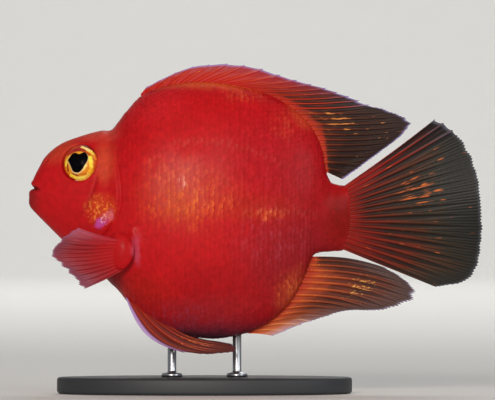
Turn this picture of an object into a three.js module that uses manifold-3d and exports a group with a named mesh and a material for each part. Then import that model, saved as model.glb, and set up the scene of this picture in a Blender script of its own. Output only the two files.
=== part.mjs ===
// A blood parrot cichlid at life size, hovering on a plain display stand.
// Millimetres, +Z up. The fish faces -X and its left side faces -Y.
// Every place on the fish is given in its own frame: x runs back from the tip of
// the snout, z is the height above the axis of the tail stalk, and y is 0 in the
// middle plane. The finished group stands with its bottom centre on the origin.
import * as THREE from "three";
import { mergeVertices } from "three/addons/utils/BufferGeometryUtils.js";
import Module from "manifold-3d";

const wasm = await Module();
wasm.setup();

// Driving dimensions
const GAP = 0.3; // air kept between neighbouring pieces
const FULLNESS = 0.88; // below 1 the flanks are fuller than an ellipse
const SIDES = 28; // facets round the body
const HEAD_RINGS = 18;
const TRUNK_RINGS = 28;
const ACROSS = 160; // wider than the fish, for cuts from side to side

// Body stations: top x, top z, bottom x, bottom z, half width, height of the widest point
const HEAD_STATIONS = [
  [2.0, 12.8, 0.7, 7.8, 1.8, 0.5], // tip of the jaws
  [2.7, 16.2, 1.0, 4.8, 3.8, 0.5],
  [4.8, 20.4, 3.8, 1.4, 5.9, 0.5], // snout
  [7.6, 25.0, 8.6, -3.4, 8.0, 0.5],
  [13.4, 29.7, 13.8, -8.6, 10.4, 0.49], // forehead and chin
  [21.2, 32.8, 20.8, -15.2, 13.0, 0.48], // eye
  [29.2, 35.0, 28.2, -20.8, 15.4, 0.47], // cheek
  [33.8, 35.6, 32.4, -24.2, 16.6, 0.46], // nape and throat
  [39.0, 36.2, 36.6, -28.0, 18.2, 0.46],
  [43.0, 35.6, 40.0, -32.0, 19.0, 0.46],
];
const TRUNK_STATIONS = [
  [17.0, 24.0, 16.8, -11.0, 10.2, 0.46], // inside the head
  [26.0, 30.4, 24.6, -17.6, 13.6, 0.46],
  [33.4, 34.9, 31.2, -23.4, 16.6, 0.46], // behind the nape
  [39.6, 42.6, 36.8, -29.2, 18.8, 0.46], // shoulder
  [46.6, 49.4, 43.4, -37.0, 20.8, 0.45],
  [57.0, 53.2, 55.4, -45.2, 22.2, 0.45], // breast
  [70.6, 54.4, 70.4, -48.2, 22.6, 0.45], // deepest belly
  [84.0, 53.0, 82.8, -47.4, 21.6, 0.46],
  [96.0, 49.4, 94.0, -43.6, 18.8, 0.48],
  [105.8, 44.2, 102.8, -36.4, 15.2, 0.49],
  [113.2, 37.2, 108.8, -27.6, 11.8, 0.5],
  [117.6, 29.2, 112.2, -20.0, 9.2, 0.5],
  [119.4, 20.8, 114.2, -15.4, 7.8, 0.5], // last ray of the back fin
  [121.4, 15.0, 117.2, -13.8, 6.9, 0.5],
  [124.6, 13.4, 121.2, -13.4, 5.8, 0.5], // tail stalk
  [128.0, 12.6, 126.2, -12.6, 3.6, 0.5],
  [129.8, 9.6, 128.8, -9.6, 1.3, 0.5], // end of the flesh
];

// Rear edge of the gill cover, from the nape down and forward to the throat
const GILL_EDGE = [
  [33.0, 46.0],
  [33.9, 35.4],
  [34.8, 26.0],
  [36.4, 15.0],
  [36.6, 6.0],
  [34.2, -1.6],
  [29.6, -8.0],
  [24.0, -15.0],
  [18.0, -28.0],
];
const GILL_LIFT = 1.1; // how far the gill cover stands proud of the shoulder
const GILL_REACH = 13; // length over which the cheek rises to that
const GILL_FADE = { throat: [-25, -9], nape: [17, 29] }; // heights where the lift fades out
const GILL_STEPS = 14;
const STALK_CUT = [
  [122.6, 30.0],
  [121.8, 10.0],
  [120.2, -4.0],
  [116.4, -30.0],
]; // where the tail stalk begins
const CUT_STEPS = 6;

// Eye
const EYE = { x: 21.6, y: 8.0, z: 21.8, radius: 7.3, tall: 7.6, deep: 4.9, facets: [20, 10] };
const EYE_TURN = 20; // degrees that the eye looks forward
const EYE_LIFT = 12; // degrees that the eye looks up
const LENS = { radius: 4.1, deep: 2.4, out: 3.1, facets: [14, 8] };
const ORBIT = { tube: 1.25, out: 3.1, facets: [6, 18] };

// Mouth and nostrils
const LIP_CORNER = { x: 4.3, y: 4.6, z: 11.6 };
const LIP_END = { back: 2.2, out: 0.8, down: 0.4 }; // the lip runs on behind the corner
const LIP_BEND = { back: 0.62, out: 0.66, up: 0.7 }; // shares of the way from corner to front
const UPPER_LIP = { front: [3.4, 14.4], radius: 1.4, rise: 0.6 };
const LOWER_LIP = { front: [2.2, 9.6], radius: 1.75, rise: -0.3 };
const MOUTH = { x: 1.7, z: 12.2, long: 4.6, wide: 4.2, high: 0.8, droop: 8, facets: [16, 8] };
const LIP_SIDES = 8;
const LIP_STEPS = 8;
const NOSTRIL = {
  place: [8.4, -5.0, 22.8],
  out: [-0.6, -0.55, 0.58],
  ring: 1.0,
  tube: 0.5,
  facets: [5, 10],
  bore: 0.62,
  deep: 4,
  sides: 8,
};

// Fins. A key ray is root x, root z, tip x, tip z and bow, its sag as a share of its
// length. The keys run clockwise round the fish, seen from its left side, and the rays
// are spaced evenly between them.
const RAY_FOOT = 0.3; // half width of a ray's foot, in ray spacings
const RAY_TAPER = 0.75; // share of its rise that a ray loses by its tip
const THINNED = 0.62; // share of the way out where the membrane is as thin as at its edge
const BACK_FIN = {
  rays: 28,
  rows: 6,
  sink: 2.6,
  root: 1.3,
  edge: 0.3,
  ridge: 0.4,
  notch: 0.03,
  wave: 0.5,
  waves: 2.5,
  keys: [
    [45.4, 49.4, 48.0, 52.6, 0],
    [57.4, 53.2, 66.4, 60.6, 0],
    [71.2, 54.3, 87.0, 61.2, -0.01],
    [84.4, 52.9, 108.0, 55.2, -0.02],
    [95.6, 49.3, 124.8, 50.4, -0.02],
    [105.8, 44.0, 137.2, 45.3, -0.02],
    [112.6, 37.6, 152.4, 39.5, -0.02],
    [116.6, 31.6, 150.6, 33.6, -0.03],
    [118.8, 25.0, 140.8, 26.0, -0.02],
    [120.2, 18.2, 126.4, 15.4, 0],
  ],
};
const TAIL_FIN = {
  rays: 22,
  rows: 6,
  sink: 3.2,
  root: 1.5,
  edge: 0.28,
  ridge: 0.42,
  notch: 0.025,
  wave: 1.4,
  waves: 1.6,
  keys: [
    [125.6, 12.0, 163.2, 39.5, -0.01],
    [127.2, 10.0, 170.8, 34.8, 0],
    [128.4, 7.4, 176.8, 26.4, 0],
    [129.2, 4.3, 180.2, 16.8, 0],
    [129.6, 1.0, 181.6, 6.4, 0],
    [129.6, -2.4, 182.0, -4.4, 0],
    [129.2, -5.8, 181.2, -14.6, 0],
    [127.8, -9.2, 176.8, -24.4, 0],
    [125.4, -12.2, 163.6, -27.6, 0],
  ],
};
const VENT_FIN = {
  rays: 15,
  rows: 6,
  sink: 2.6,
  root: 1.3,
  edge: 0.3,
  ridge: 0.4,
  notch: 0.035,
  wave: 0.5,
  waves: 1.5,
  keys: [
    [114.2, -15.4, 143.2, -19.8, 0.05],
    [112.6, -19.4, 153.6, -26.6, 0.05],
    [110.2, -24.8, 154.0, -32.6, 0.05],
    [106.8, -30.6, 141.8, -36.8, 0.05],
    [102.0, -37.0, 127.4, -37.2, 0.05],
    [95.4, -42.6, 112.0, -42.0, 0.05],
    [88.4, -46.2, 98.8, -47.2, 0.03],
  ],
};
// Side fins. A key ray here is root x, y, z, tip x, y, z and bow, for the left side.
const BREAST_FIN = {
  rays: 13,
  rows: 5,
  sink: 0,
  root: 0.95,
  edge: 0.28,
  ridge: 0.34,
  notch: 0.05,
  wave: 0.4,
  waves: 2,
  keys: [
    [40.0, -19.4, -19.4, 23.2, -23.6, -28.2, 0.03],
    [39.0, -20.4, -17.8, 19.2, -25.0, -23.4, 0.03],
    [38.2, -21.2, -15.6, 14.4, -26.8, -18.6, 0.03],
    [37.8, -21.6, -13.0, 10.4, -28.8, -14.2, 0.03],
    [38.4, -21.6, -10.6, 13.4, -30.4, -9.4, 0.03],
    [39.4, -21.2, -8.6, 20.4, -31.0, -3.6, 0.03],
  ],
};
const BREAST_LOBE = {
  x: 39.4,
  y: -19.2,
  z: -13.8,
  long: 5.2,
  deep: 3.4,
  tall: 6.6,
  turn: -14, // degrees that its front swings outwards
  facets: [14, 8],
};
const BELLY_FIN = {
  rays: 6,
  rows: 6,
  sink: 0,
  root: 1.1,
  edge: 0.3,
  ridge: 0.4,
  notch: 0.05,
  wave: 0,
  waves: 0,
  keys: [
    [49.0, -7.8, -37.0, 76.4, -8.6, -49.6, -0.1],
    [46.6, -7.8, -35.8, 82.2, -9.0, -50.8, -0.1],
    [44.4, -7.6, -34.6, 83.8, -9.4, -52.8, -0.12],
    [42.0, -7.2, -33.2, 76.0, -9.2, -54.2, -0.155],
    [39.8, -6.6, -31.6, 63.8, -8.6, -54.0, -0.165],
  ],
};

// Stand
const BASE = { long: 118, wide: 66, thick: 6.5, bevel: 1.2, bevelSteps: 2, quarter: 16, x: 71 };
const HOVER = 9; // air between the lowest fin and the base
const ROD = { radius: 1.75, collar: 4.2, collarHigh: 1.8, ease: 0.7, sides: 18, at: [58, 84] };
const ROD_REACH = 12; // a rod is made this much longer than the belly's depth, then trimmed

const { PI, cos, sin, sign, abs, min, max } = Math;
const { degToRad, lerp, smoothstep } = THREE.MathUtils;

/** A row of numbers at t, from 0 to 1, on a smooth curve through the rows. */
function along(rows, t) {
  const last = rows.length - 1;
  const at = min(max(t, 0) * last, last - 1e-9);
  const i = Math.floor(at);
  const f = at - i;
  const row = (n) => rows[min(max(n, 0), last)];
  return rows[i].map((_, n) => {
    const [a, b, c, d] = [row(i - 1)[n], row(i)[n], row(i + 1)[n], row(i + 2)[n]];
    const linear = (c - a) * f;
    const square = (2 * a - 5 * b + 4 * c - d) * f * f;
    const cube = (3 * b - a - 3 * c + d) * f ** 3;
    return 0.5 * (2 * b + linear + square + cube);
  });
}

/** A geometry from flat positions and triangle indices. */
function geometryOf(positions, indices) {
  return new THREE.BufferGeometry()
    .setAttribute("position", new THREE.Float32BufferAttribute(positions, 3))
    .setIndex(indices);
}

/** A solid for joining and cutting, from a closed geometry. */
function solidOf(geometry) {
  const bare = geometry.clone();
  bare.deleteAttribute("normal");
  bare.deleteAttribute("uv");
  const merged = mergeVertices(bare, 1e-4);
  return new wasm.Manifold(
    new wasm.Mesh({
      numProp: 3,
      vertProperties: merged.attributes.position.array,
      triVerts: new Uint32Array(merged.index.array),
    }),
  );
}

/** The largest closed surface of a solid, as a geometry. */
function geometryFrom(solid) {
  const pieces = solid.decompose().sort((a, b) => b.volume() - a.volume());
  const mesh = pieces[0].getMesh();
  return geometryOf(mesh.vertProperties, Array.from(mesh.triVerts));
}

/** The same geometry with each vertex moved outwards by a distance. */
function grown(geometry, distance) {
  const made = geometry.clone();
  made.computeVertexNormals();
  const { position, normal } = made.attributes;
  for (let i = 0; i < position.count; i++) {
    position.setXYZ(
      i,
      position.getX(i) + normal.getX(i) * distance,
      position.getY(i) + normal.getY(i) * distance,
      position.getZ(i) + normal.getZ(i) * distance,
    );
  }
  return made;
}

/** A point of a body section: turn is 0 at the back, PI at the belly. */
function sectionPoint([topX, topZ, bottomX, bottomZ, half, widest], turn) {
  const up = cos(turn);
  const share = up > 0 ? lerp(widest, 1, up) : lerp(widest, 0, -up);
  return new THREE.Vector3(
    lerp(bottomX, topX, share),
    half * sign(sin(turn)) * abs(sin(turn)) ** FULLNESS,
    lerp(bottomZ, topZ, share),
  );
}

/** A closed body through the stations, its ends capped at their middles. */
function bodyGeometry(stations, rings, relief = () => 0) {
  const points = [];
  for (let ring = 0; ring <= rings; ring++) {
    const row = along(stations, ring / rings);
    for (let side = 0; side < SIDES; side++) {
      const turn = (2 * PI * side) / SIDES;
      const point = sectionPoint(row, turn);
      point.y += relief(point.x, point.z) * sin(turn);
      points.push(point);
    }
  }
  const first = points.slice(0, SIDES);
  const final = points.slice(-SIDES);
  const middle = (ring) =>
    ring.reduce((sum, p) => sum.add(p), new THREE.Vector3()).divideScalar(SIDES);
  points.push(middle(first), middle(final));
  const indices = [];
  for (let side = 0; side < SIDES; side++) {
    const next = (side + 1) % SIDES;
    for (let ring = 0; ring < rings; ring++) {
      const a = ring * SIDES + side;
      const b = ring * SIDES + next;
      indices.push(a, a + SIDES, b, b, a + SIDES, b + SIDES);
    }
    const end = rings * SIDES;
    indices.push(points.length - 2, side, next);
    indices.push(points.length - 1, end + next, end + side);
  }
  return geometryOf(points.flatMap((p) => p.toArray()), indices);
}

/** A wall-to-wall block over an outline in the side view. */
function sideBlock(outline) {
  const shape = new THREE.Shape(outline.map(([x, z]) => new THREE.Vector2(x, z)));
  const block = new THREE.ExtrudeGeometry(shape, { depth: ACROSS, bevelEnabled: false });
  return solidOf(block.rotateX(PI / 2).translate(0, ACROSS / 2, 0));
}

/** Points along a smooth curve through the given ones. */
function smoothLine(points, steps, shift = [0, 0]) {
  return Array.from({ length: steps + 1 }, (_, i) => {
    const [x, z] = along(points, i / steps);
    return [x + shift[0], z + shift[1]];
  });
}

/** A fin's rays and membrane as columns: u across the fin, 1 on a ray and 0 beside it. */
function finColumns(rays) {
  const pitch = 1 / (rays - 1);
  const foot = RAY_FOOT * pitch;
  const columns = [];
  for (let ray = 0; ray < rays; ray++) {
    const u = ray * pitch;
    if (ray > 0) columns.push([u - foot, 0]);
    columns.push([u, 1]);
    if (ray < rays - 1) columns.push([u + foot, 0]);
  }
  return columns;
}

/** Where ray u of a fin starts and ends, and its bow. */
function rayEnds(fin, u) {
  const k = along(fin.keys, u);
  const inMiddle = k.length === 5;
  const root = inMiddle ? [k[0], 0, k[1]] : k.slice(0, 3);
  const tip = inMiddle ? [k[2], 0, k[3]] : k.slice(3, 6);
  return [new THREE.Vector3(...root), new THREE.Vector3(...tip), k.at(-1)];
}

/** A point of a fin's middle sheet: v is 0 at the root and 1 at the tip of the ray. */
function finMiddle(fin, u, v) {
  const [root, tip, bow] = rayEnds(fin, u);
  const span = tip.sub(root);
  const point = root.addScaledVector(span, v);
  const arch = bow * sin(PI * v);
  point.x -= span.z * arch;
  point.z += span.x * arch;
  point.y += fin.wave * sin(2 * PI * fin.waves * u) * v * v;
  return point;
}

/** The way down into the body at ray u, square to the root line. */
function finRootDown(fin, u) {
  const step = 0.01;
  const [ahead] = rayEnds(fin, max(u - step, 0));
  const [behind] = rayEnds(fin, min(u + step, 1));
  const slope = behind.sub(ahead).normalize();
  return new THREE.Vector3(slope.z, 0, -slope.x);
}

/** The way square to a fin's sheet at a point, on the side of +Y. */
function finFacing(fin, u, v) {
  const step = 0.02;
  const w = min(max(v, 2 * step), 1 - step);
  const across = finMiddle(fin, min(u + step, 1), w).sub(finMiddle(fin, max(u - step, 0), w));
  const outward = finMiddle(fin, u, w + step).sub(finMiddle(fin, u, w - step));
  const facing = across.cross(outward).normalize();
  return facing.y < 0 ? facing.negate() : facing;
}

/**
 * A fin between a root line and an edge line. Each ray is a ridge on both faces of
 * the membrane, and its tip stands a little past the membrane's edge. The first row
 * is sunk below the root line.
 */
function finGeometry(fin) {
  const { rows, sink, root, edge, ridge, notch } = fin;
  const left = [];
  const right = [];
  const columns = finColumns(fin.rays);
  for (const [u, onRay] of columns) {
    for (let row = 0; row <= rows; row++) {
      const v = row / rows;
      const reach = v * (onRay ? 1 : 1 - notch);
      const point = finMiddle(fin, u, reach);
      if (row === 0) point.addScaledVector(finRootDown(fin, u), sink);
      const rise = onRay * ridge * (1 - RAY_TAPER * v);
      const thick = lerp(root, edge, min(1, v / THINNED)) + rise;
      const offset = finFacing(fin, u, reach).multiplyScalar(thick);
      left.push(point.clone().sub(offset));
      right.push(point.clone().add(offset));
    }
  }
  const stride = rows + 1;
  const behind = left.length;
  const indices = [];
  const quad = (a, b, c, d) => indices.push(a, b, c, a, c, d);
  for (let column = 0; column < columns.length - 1; column++) {
    const low = column * stride;
    const high = low + rows;
    for (let a = low; a < high; a++) {
      const b = a + stride;
      indices.push(a, b, a + 1, b, b + 1, a + 1);
      indices.push(behind + a, behind + a + 1, behind + b);
      indices.push(behind + b, behind + a + 1, behind + b + 1);
    }
    quad(low + stride, low, behind + low, behind + low + stride);
    quad(high, high + stride, behind + high + stride, behind + high);
  }
  const final = (columns.length - 1) * stride;
  for (let row = 0; row < rows; row++) {
    quad(row, row + 1, behind + row + 1, behind + row);
    quad(final + row + 1, final + row, behind + final + row, behind + final + row + 1);
  }
  return geometryOf([...left, ...right].flatMap((p) => p.toArray()), indices);
}

/** An ellipsoid of three radii at a place, after turning it. */
function ellipsoid([rx, ry, rz], place, [aroundX, aroundZ], facets) {
  return new THREE.SphereGeometry(1, ...facets)
    .scale(rx, ry, rz)
    .rotateX(aroundX)
    .rotateZ(aroundZ)
    .translate(...place);
}

/** A round bar along a smooth path, its ends left flat. */
function barAlong(points, radius) {
  return new THREE.ExtrudeGeometry(new THREE.Shape().absarc(0, 0, radius, 0, 2 * PI), {
    extrudePath: new THREE.CatmullRomCurve3(points.map((p) => new THREE.Vector3(...p))),
    steps: LIP_STEPS,
    curveSegments: LIP_SIDES / 2, // an arc is drawn with two sides to each
    bevelEnabled: false,
  });
}

/** A lip from one corner of the mouth round the front to the other. */
function lip({ front: [x, z], radius, rise }) {
  const corner = LIP_CORNER;
  const half = [
    [corner.x + LIP_END.back, -corner.y * LIP_END.out, corner.z - LIP_END.down],
    [corner.x, -corner.y, corner.z + rise],
    [lerp(corner.x, x, LIP_BEND.back), -corner.y * LIP_BEND.out, lerp(corner.z, z, LIP_BEND.up)],
  ];
  const mirrored = half.map(([px, py, pz]) => [px, -py, pz]).reverse();
  return solidOf(barAlong([...half, [x, 0, z], ...mirrored], radius));
}

const SIGHT = [degToRad(-EYE_LIFT), degToRad(-EYE_TURN)];

/** The left eyeball, grown by a distance all round. */
function eyeball(grow) {
  const { x, y, z, radius, tall, deep } = EYE;
  const radii = [radius + grow, deep + grow, tall + grow];
  return solidOf(ellipsoid(radii, [x, -y, z], SIGHT, EYE.facets));
}

/** A point that lies a given way out along the left eye's line of sight. */
function eyeOut(distance) {
  const sight = new THREE.Vector3(0, -distance, 0)
    .applyAxisAngle(new THREE.Vector3(1, 0, 0), SIGHT[0])
    .applyAxisAngle(new THREE.Vector3(0, 0, 1), SIGHT[1]);
  return [EYE.x + sight.x, -EYE.y + sight.y, EYE.z + sight.z];
}

/** The same solid on the other side of the middle plane. */
function otherSide(solid) {
  const geometry = geometryFrom(solid).scale(1, -1, 1);
  const turned = geometry.index.array;
  for (let i = 0; i < turned.length; i += 3) {
    [turned[i + 1], turned[i + 2]] = [turned[i + 2], turned[i + 1]];
  }
  return solidOf(geometry);
}

const both = (solid) => solid.add(otherSide(solid));

/** How far the cheek rises towards the gill cover's edge at a point of the side view. */
function cheekRelief(x, z) {
  const below = GILL_EDGE.findIndex(([, edgeZ]) => edgeZ < z);
  if (below <= 0) return 0;
  const [[x0, z0], [x1, z1]] = GILL_EDGE.slice(below - 1, below + 1);
  const edgeX = lerp(x0, x1, (z0 - z) / (z0 - z1));
  const cover = smoothstep(z, ...GILL_FADE.throat) * (1 - smoothstep(z, ...GILL_FADE.nape));
  return GILL_LIFT * cover * smoothstep(x, edgeX - GILL_REACH, edgeX);
}

const headGeometry = bodyGeometry(HEAD_STATIONS, HEAD_RINGS, cheekRelief);
const trunkGeometry = bodyGeometry(TRUNK_STATIONS, TRUNK_RINGS);
const trunk = solidOf(trunkGeometry);
const trunkClear = solidOf(grown(trunkGeometry, GAP));
const headClear = solidOf(grown(headGeometry, GAP));

const AHEAD = -30; // beyond the snout
const ASTERN = 160; // beyond the tail stalk
const FAR = 70; // beyond the back and the belly
const gillLine = (shift) => smoothLine(GILL_EDGE, GILL_STEPS, shift);
const inFrontOfGills = (shift) =>
  sideBlock([...gillLine(shift), [AHEAD, -FAR], [AHEAD, FAR]]);
const behindStalkCut = (shift) =>
  sideBlock([...smoothLine(STALK_CUT, CUT_STEPS, shift), [ASTERN, -FAR], [ASTERN, FAR]]);

/** The head: jaws, lips, nostrils, eye rims and gill covers. */
function headSolid() {
  const rim = new THREE.TorusGeometry(1, ORBIT.tube / EYE.radius, ...ORBIT.facets)
    .rotateX(PI / 2)
    .scale(EYE.radius, EYE.radius, EYE.tall)
    .rotateX(SIGHT[0])
    .rotateZ(SIGHT[1])
    .translate(...eyeOut(ORBIT.out));
  const up = new THREE.Vector3(0, 0, 1);
  const outOfNose = new THREE.Vector3(...NOSTRIL.out).normalize();
  const aim = new THREE.Quaternion().setFromUnitVectors(up, outOfNose);
  const noseRing = new THREE.TorusGeometry(NOSTRIL.ring, NOSTRIL.tube, ...NOSTRIL.facets)
    .applyQuaternion(aim)
    .translate(...NOSTRIL.place);
  const { bore, deep, sides } = NOSTRIL;
  const noseBore = new THREE.CylinderGeometry(bore, bore, deep, sides)
    .rotateX(PI / 2)
    .applyQuaternion(aim)
    .translate(...NOSTRIL.place);
  const slit = new THREE.SphereGeometry(1, ...MOUTH.facets)
    .scale(MOUTH.long, MOUTH.wide, MOUTH.high)
    .rotateY(degToRad(MOUTH.droop))
    .translate(MOUTH.x, 0, MOUTH.z);
  return solidOf(headGeometry)
    .add(both(solidOf(rim)))
    .add(both(solidOf(noseRing)))
    .add(lip(UPPER_LIP))
    .add(lip(LOWER_LIP))
    .subtract(both(solidOf(noseBore)))
    .subtract(both(eyeball(GAP)))
    .subtract(solidOf(slit))
    .intersect(inFrontOfGills([0, 0]));
}

/** The trunk between the gill covers and the tail stalk. */
function torsoSolid() {
  const behind = [GAP, -GAP]; // the gill cover's edge slopes down and forward
  return trunk.subtract(inFrontOfGills(behind)).subtract(behindStalkCut([-GAP, 0]));
}

/** The left eye, its lens a low dome in the middle. */
function eyeSolid() {
  const { radius, deep, out, facets } = LENS;
  const lens = ellipsoid([radius, deep, radius], eyeOut(out), SIGHT, facets);
  return eyeball(0).add(solidOf(lens));
}

/** A fin that grows out of the middle of the back, belly or tail stalk. */
function middleFin(fin) {
  return solidOf(finGeometry(fin)).subtract(trunkClear);
}

/** The left breast fin, swung forward, with its fleshy root. */
function breastFin() {
  const { x, y, z, long, deep, tall, turn, facets } = BREAST_LOBE;
  const lobe = ellipsoid([long, deep, tall], [x, y, z], [0, degToRad(turn)], facets);
  return solidOf(finGeometry(BREAST_FIN))
    .add(solidOf(lobe))
    .subtract(trunkClear)
    .subtract(headClear);
}

/** The left belly fin, folded back under the belly. */
function bellyFin() {
  return solidOf(finGeometry(BELLY_FIN)).subtract(trunkClear);
}

const lowest = min(...BELLY_FIN.keys.map((key) => key[5])) - BELLY_FIN.ridge;
const floorTop = lowest - HOVER; // upper face of the base

/** The oval base plate with its edges eased. */
function basePlate() {
  const { long, wide, thick, bevel, bevelSteps, quarter, x } = BASE;
  const outline = new THREE.Shape().absellipse(0, 0, long / 2 - bevel, wide / 2 - bevel, 0, 2 * PI);
  const plate = new THREE.ExtrudeGeometry(outline, {
    depth: thick - 2 * bevel,
    bevelThickness: bevel,
    bevelSize: bevel,
    bevelSegments: bevelSteps,
    curveSegments: quarter,
  });
  return plate.translate(x, 0, floorTop - thick + bevel);
}

/** A rod with a small collar at its foot, trimmed to the belly above it. */
function rod(x) {
  const foot = floorTop + GAP;
  const top = lowest + ROD_REACH;
  const { radius, collar, collarHigh, ease, sides } = ROD;
  const profile = [
    [0, foot],
    [collar, foot],
    [collar, foot + collarHigh - ease],
    [collar - ease, foot + collarHigh],
    [radius, foot + collarHigh],
    [radius, top],
    [0, top],
  ].map(([r, z]) => new THREE.Vector2(r, z));
  const turned = new THREE.LatheGeometry(profile, sides).rotateX(PI / 2);
  return solidOf(turned.translate(x, 0, 0)).subtract(trunkClear);
}

const finish = (color, roughness, metalness = 0) =>
  new THREE.MeshStandardMaterial({ color, roughness, metalness });
const SKIN = finish("#c4201f", 0.42);
const STALK = finish("#a81d20", 0.45);
const FIN = finish("#9c3a2a", 0.5);
const EYE_GOLD = finish("#e8b02c", 0.2);
const PLATE = finish("#2b2e33", 0.55);
const STEEL = finish("#b8bcc2", 0.3, 1);

const model = new THREE.Group();

/** Adds one named piece to the model. */
function addPiece(name, geometry, material) {
  const piece = new THREE.Mesh(geometry, material);
  piece.name = name;
  model.add(piece);
}

/** Adds a left piece and its mirror image on the right. */
function addPair(name, solid, material) {
  addPiece(name + "_left", geometryFrom(solid), material);
  addPiece(name + "_right", geometryFrom(otherSide(solid)), material);
}

addPiece("head", geometryFrom(headSolid()), SKIN);
addPiece("torso", geometryFrom(torsoSolid()), SKIN);
addPiece("tail_stalk", geometryFrom(trunk.intersect(behindStalkCut([0, 0]))), STALK);
addPiece("back_fin", geometryFrom(middleFin(BACK_FIN)), FIN);
addPiece("tail_fin", geometryFrom(middleFin(TAIL_FIN)), FIN);
addPiece("vent_fin", geometryFrom(middleFin(VENT_FIN)), FIN);
addPair("breast_fin", breastFin(), FIN);
addPair("belly_fin", bellyFin(), FIN);
addPair("eye", eyeSolid(), EYE_GOLD);
addPiece("stand_base", basePlate(), PLATE);
ROD.at.forEach((x, i) => {
  addPiece(["stand_rod_front", "stand_rod_rear"][i], geometryFrom(rod(x)), STEEL);
});

const box = new THREE.Box3().setFromObject(model);
const centre = box.getCenter(new THREE.Vector3());
model.position.set(-centre.x, -centre.y, -box.min.z);

export default model;
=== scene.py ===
"""Blood parrot cichlid at life size on a display stand: skin, scales, rayed fins, eyes and stand.

Sizes are millimetres in the fish's own frame, as in the solids: x runs back from the snout,
z is the height above the axis of the tail stalk, and y is 0 in the middle plane.
"""

import logging
import math
import random
from collections.abc import Iterable, Sequence
from dataclasses import dataclass, field
from enum import Enum
from typing import Any, NamedTuple

import bmesh
import bpy
import numpy as np
from mathutils import Matrix, Vector, noise
from mathutils.bvhtree import BVHTree

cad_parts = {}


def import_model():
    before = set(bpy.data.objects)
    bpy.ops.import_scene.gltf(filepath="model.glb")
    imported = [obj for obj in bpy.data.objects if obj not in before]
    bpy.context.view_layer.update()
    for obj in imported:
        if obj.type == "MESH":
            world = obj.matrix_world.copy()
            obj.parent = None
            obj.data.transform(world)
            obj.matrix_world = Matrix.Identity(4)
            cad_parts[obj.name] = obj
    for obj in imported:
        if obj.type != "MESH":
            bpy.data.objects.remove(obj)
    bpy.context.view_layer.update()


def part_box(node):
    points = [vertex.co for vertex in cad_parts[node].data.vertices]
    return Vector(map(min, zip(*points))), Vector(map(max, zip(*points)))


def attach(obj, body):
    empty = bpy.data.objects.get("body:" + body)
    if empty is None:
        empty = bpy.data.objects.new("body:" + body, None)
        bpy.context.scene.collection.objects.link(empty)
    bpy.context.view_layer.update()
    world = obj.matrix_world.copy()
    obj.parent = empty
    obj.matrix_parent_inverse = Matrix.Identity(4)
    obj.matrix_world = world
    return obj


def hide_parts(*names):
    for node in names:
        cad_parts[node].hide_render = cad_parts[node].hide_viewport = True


Tree = bpy.types.NodeTree
Node = bpy.types.Node
Socket = bpy.types.NodeSocket
Pair = tuple[float, float]
Triple = tuple[float, float, float]
Rows = tuple[tuple[float, ...], ...]
Stops = tuple[tuple[float, str], ...]

LOG = logging.getLogger("blood_parrot")
MM = 0.001
TURN = 2.0 * math.pi
ROOT = "root"  # the one body of a part with no joints
SEED = 7
SOFT = {"interpolation_type": "SMOOTHSTEP"}  # makes a MapRange node a soft step


class Side(Enum):
    """A side of the fish, with the sign of y there."""

    LEFT = -1
    RIGHT = 1

    @property
    def word(self) -> str:
        """The side as the pieces' names give it."""
        return self.name.lower()


class Slot(Enum):
    """The record's material slots."""

    SKIN = "skin"
    FIN = "fin"
    EYE = "eye"
    PLATE = "plate"
    ROD = "rod"


# Curves and points


def smooth(low: float, high: float, value: float) -> float:
    """A soft step.

    Args:
        low: Where the step starts; it may be the greater of the two.
        high: Where it ends.
        value: Where it is read.

    Returns:
        0 before low, 1 after high and an S-curve between them.
    """
    share = min(max((value - low) / (high - low), 0.0), 1.0)
    return share * share * (3.0 - 2.0 * share)


def bell(distance: float, width: float) -> float:
    """A soft bump: 1 at no distance, 0.37 at one width."""
    return math.exp(-((distance / width) ** 2))


def mix(first: float, second: float, share: float) -> float:
    """A value between two others."""
    return first + (second - first) * share


def spline(rows: Sequence[Sequence[float]], t: float) -> list[float]:
    """A smooth curve through rows of numbers.

    Args:
        rows: The rows, evenly spaced along the curve.
        t: The place along the curve, from 0 to 1.

    Returns:
        The row of numbers at t.
    """
    last = len(rows) - 1
    place = min(max(t, 0.0) * last, last - 1e-9)
    start = int(place)
    f = place - start
    before, after = max(start - 1, 0), min(start + 2, last)
    made = []
    for a, b, c, d in zip(rows[before], rows[start], rows[start + 1], rows[after]):
        square = (2.0 * a - 5.0 * b + 4.0 * c - d) * f * f
        cube = (3.0 * b - a - 3.0 * c + d) * f**3
        made.append(0.5 * (2.0 * b + (c - a) * f + square + cube))
    return made


def dense(rows: Sequence[Sequence[float]], count: int) -> np.ndarray:
    """A smooth curve through rows as an array of evenly spaced points."""
    return np.array([spline(rows, i / (count - 1)) for i in range(count)])


def between(rows: Sequence[Sequence[float]], x: float, column: int = 1) -> float:
    """A column of a table read at a value of its first one, by straight lines between its rows."""
    table = np.array(rows)
    return float(np.interp(x, table[:, 0], table[:, column]))


def beside(point: Vector) -> Vector:
    """A point with its y as the distance from the middle plane."""
    return Vector((point.x, abs(point.y), point.z))


# Objects


def show(mesh: bpy.types.Mesh) -> bpy.types.Object:
    """Shows a mesh in the scene and reports it.

    Args:
        mesh: The mesh, in metres.

    Returns:
        Its smooth-shaded object, with the mesh's name.
    """
    mesh.polygons.foreach_set("use_smooth", [True] * len(mesh.polygons))
    obj = bpy.data.objects.new(mesh.name, mesh)
    bpy.context.scene.collection.objects.link(obj)
    LOG.info("%s: %d faces", mesh.name, len(mesh.polygons))
    return obj


def to_mesh(bm: bmesh.types.BMesh, name: str) -> bpy.types.Mesh:
    """Turns a bmesh into a mesh.

    Args:
        bm: The bmesh, which is freed.
        name: The mesh's name.

    Returns:
        The mesh.
    """
    mesh = bpy.data.meshes.new(name)
    bm.to_mesh(mesh)
    bm.free()
    return mesh


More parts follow.
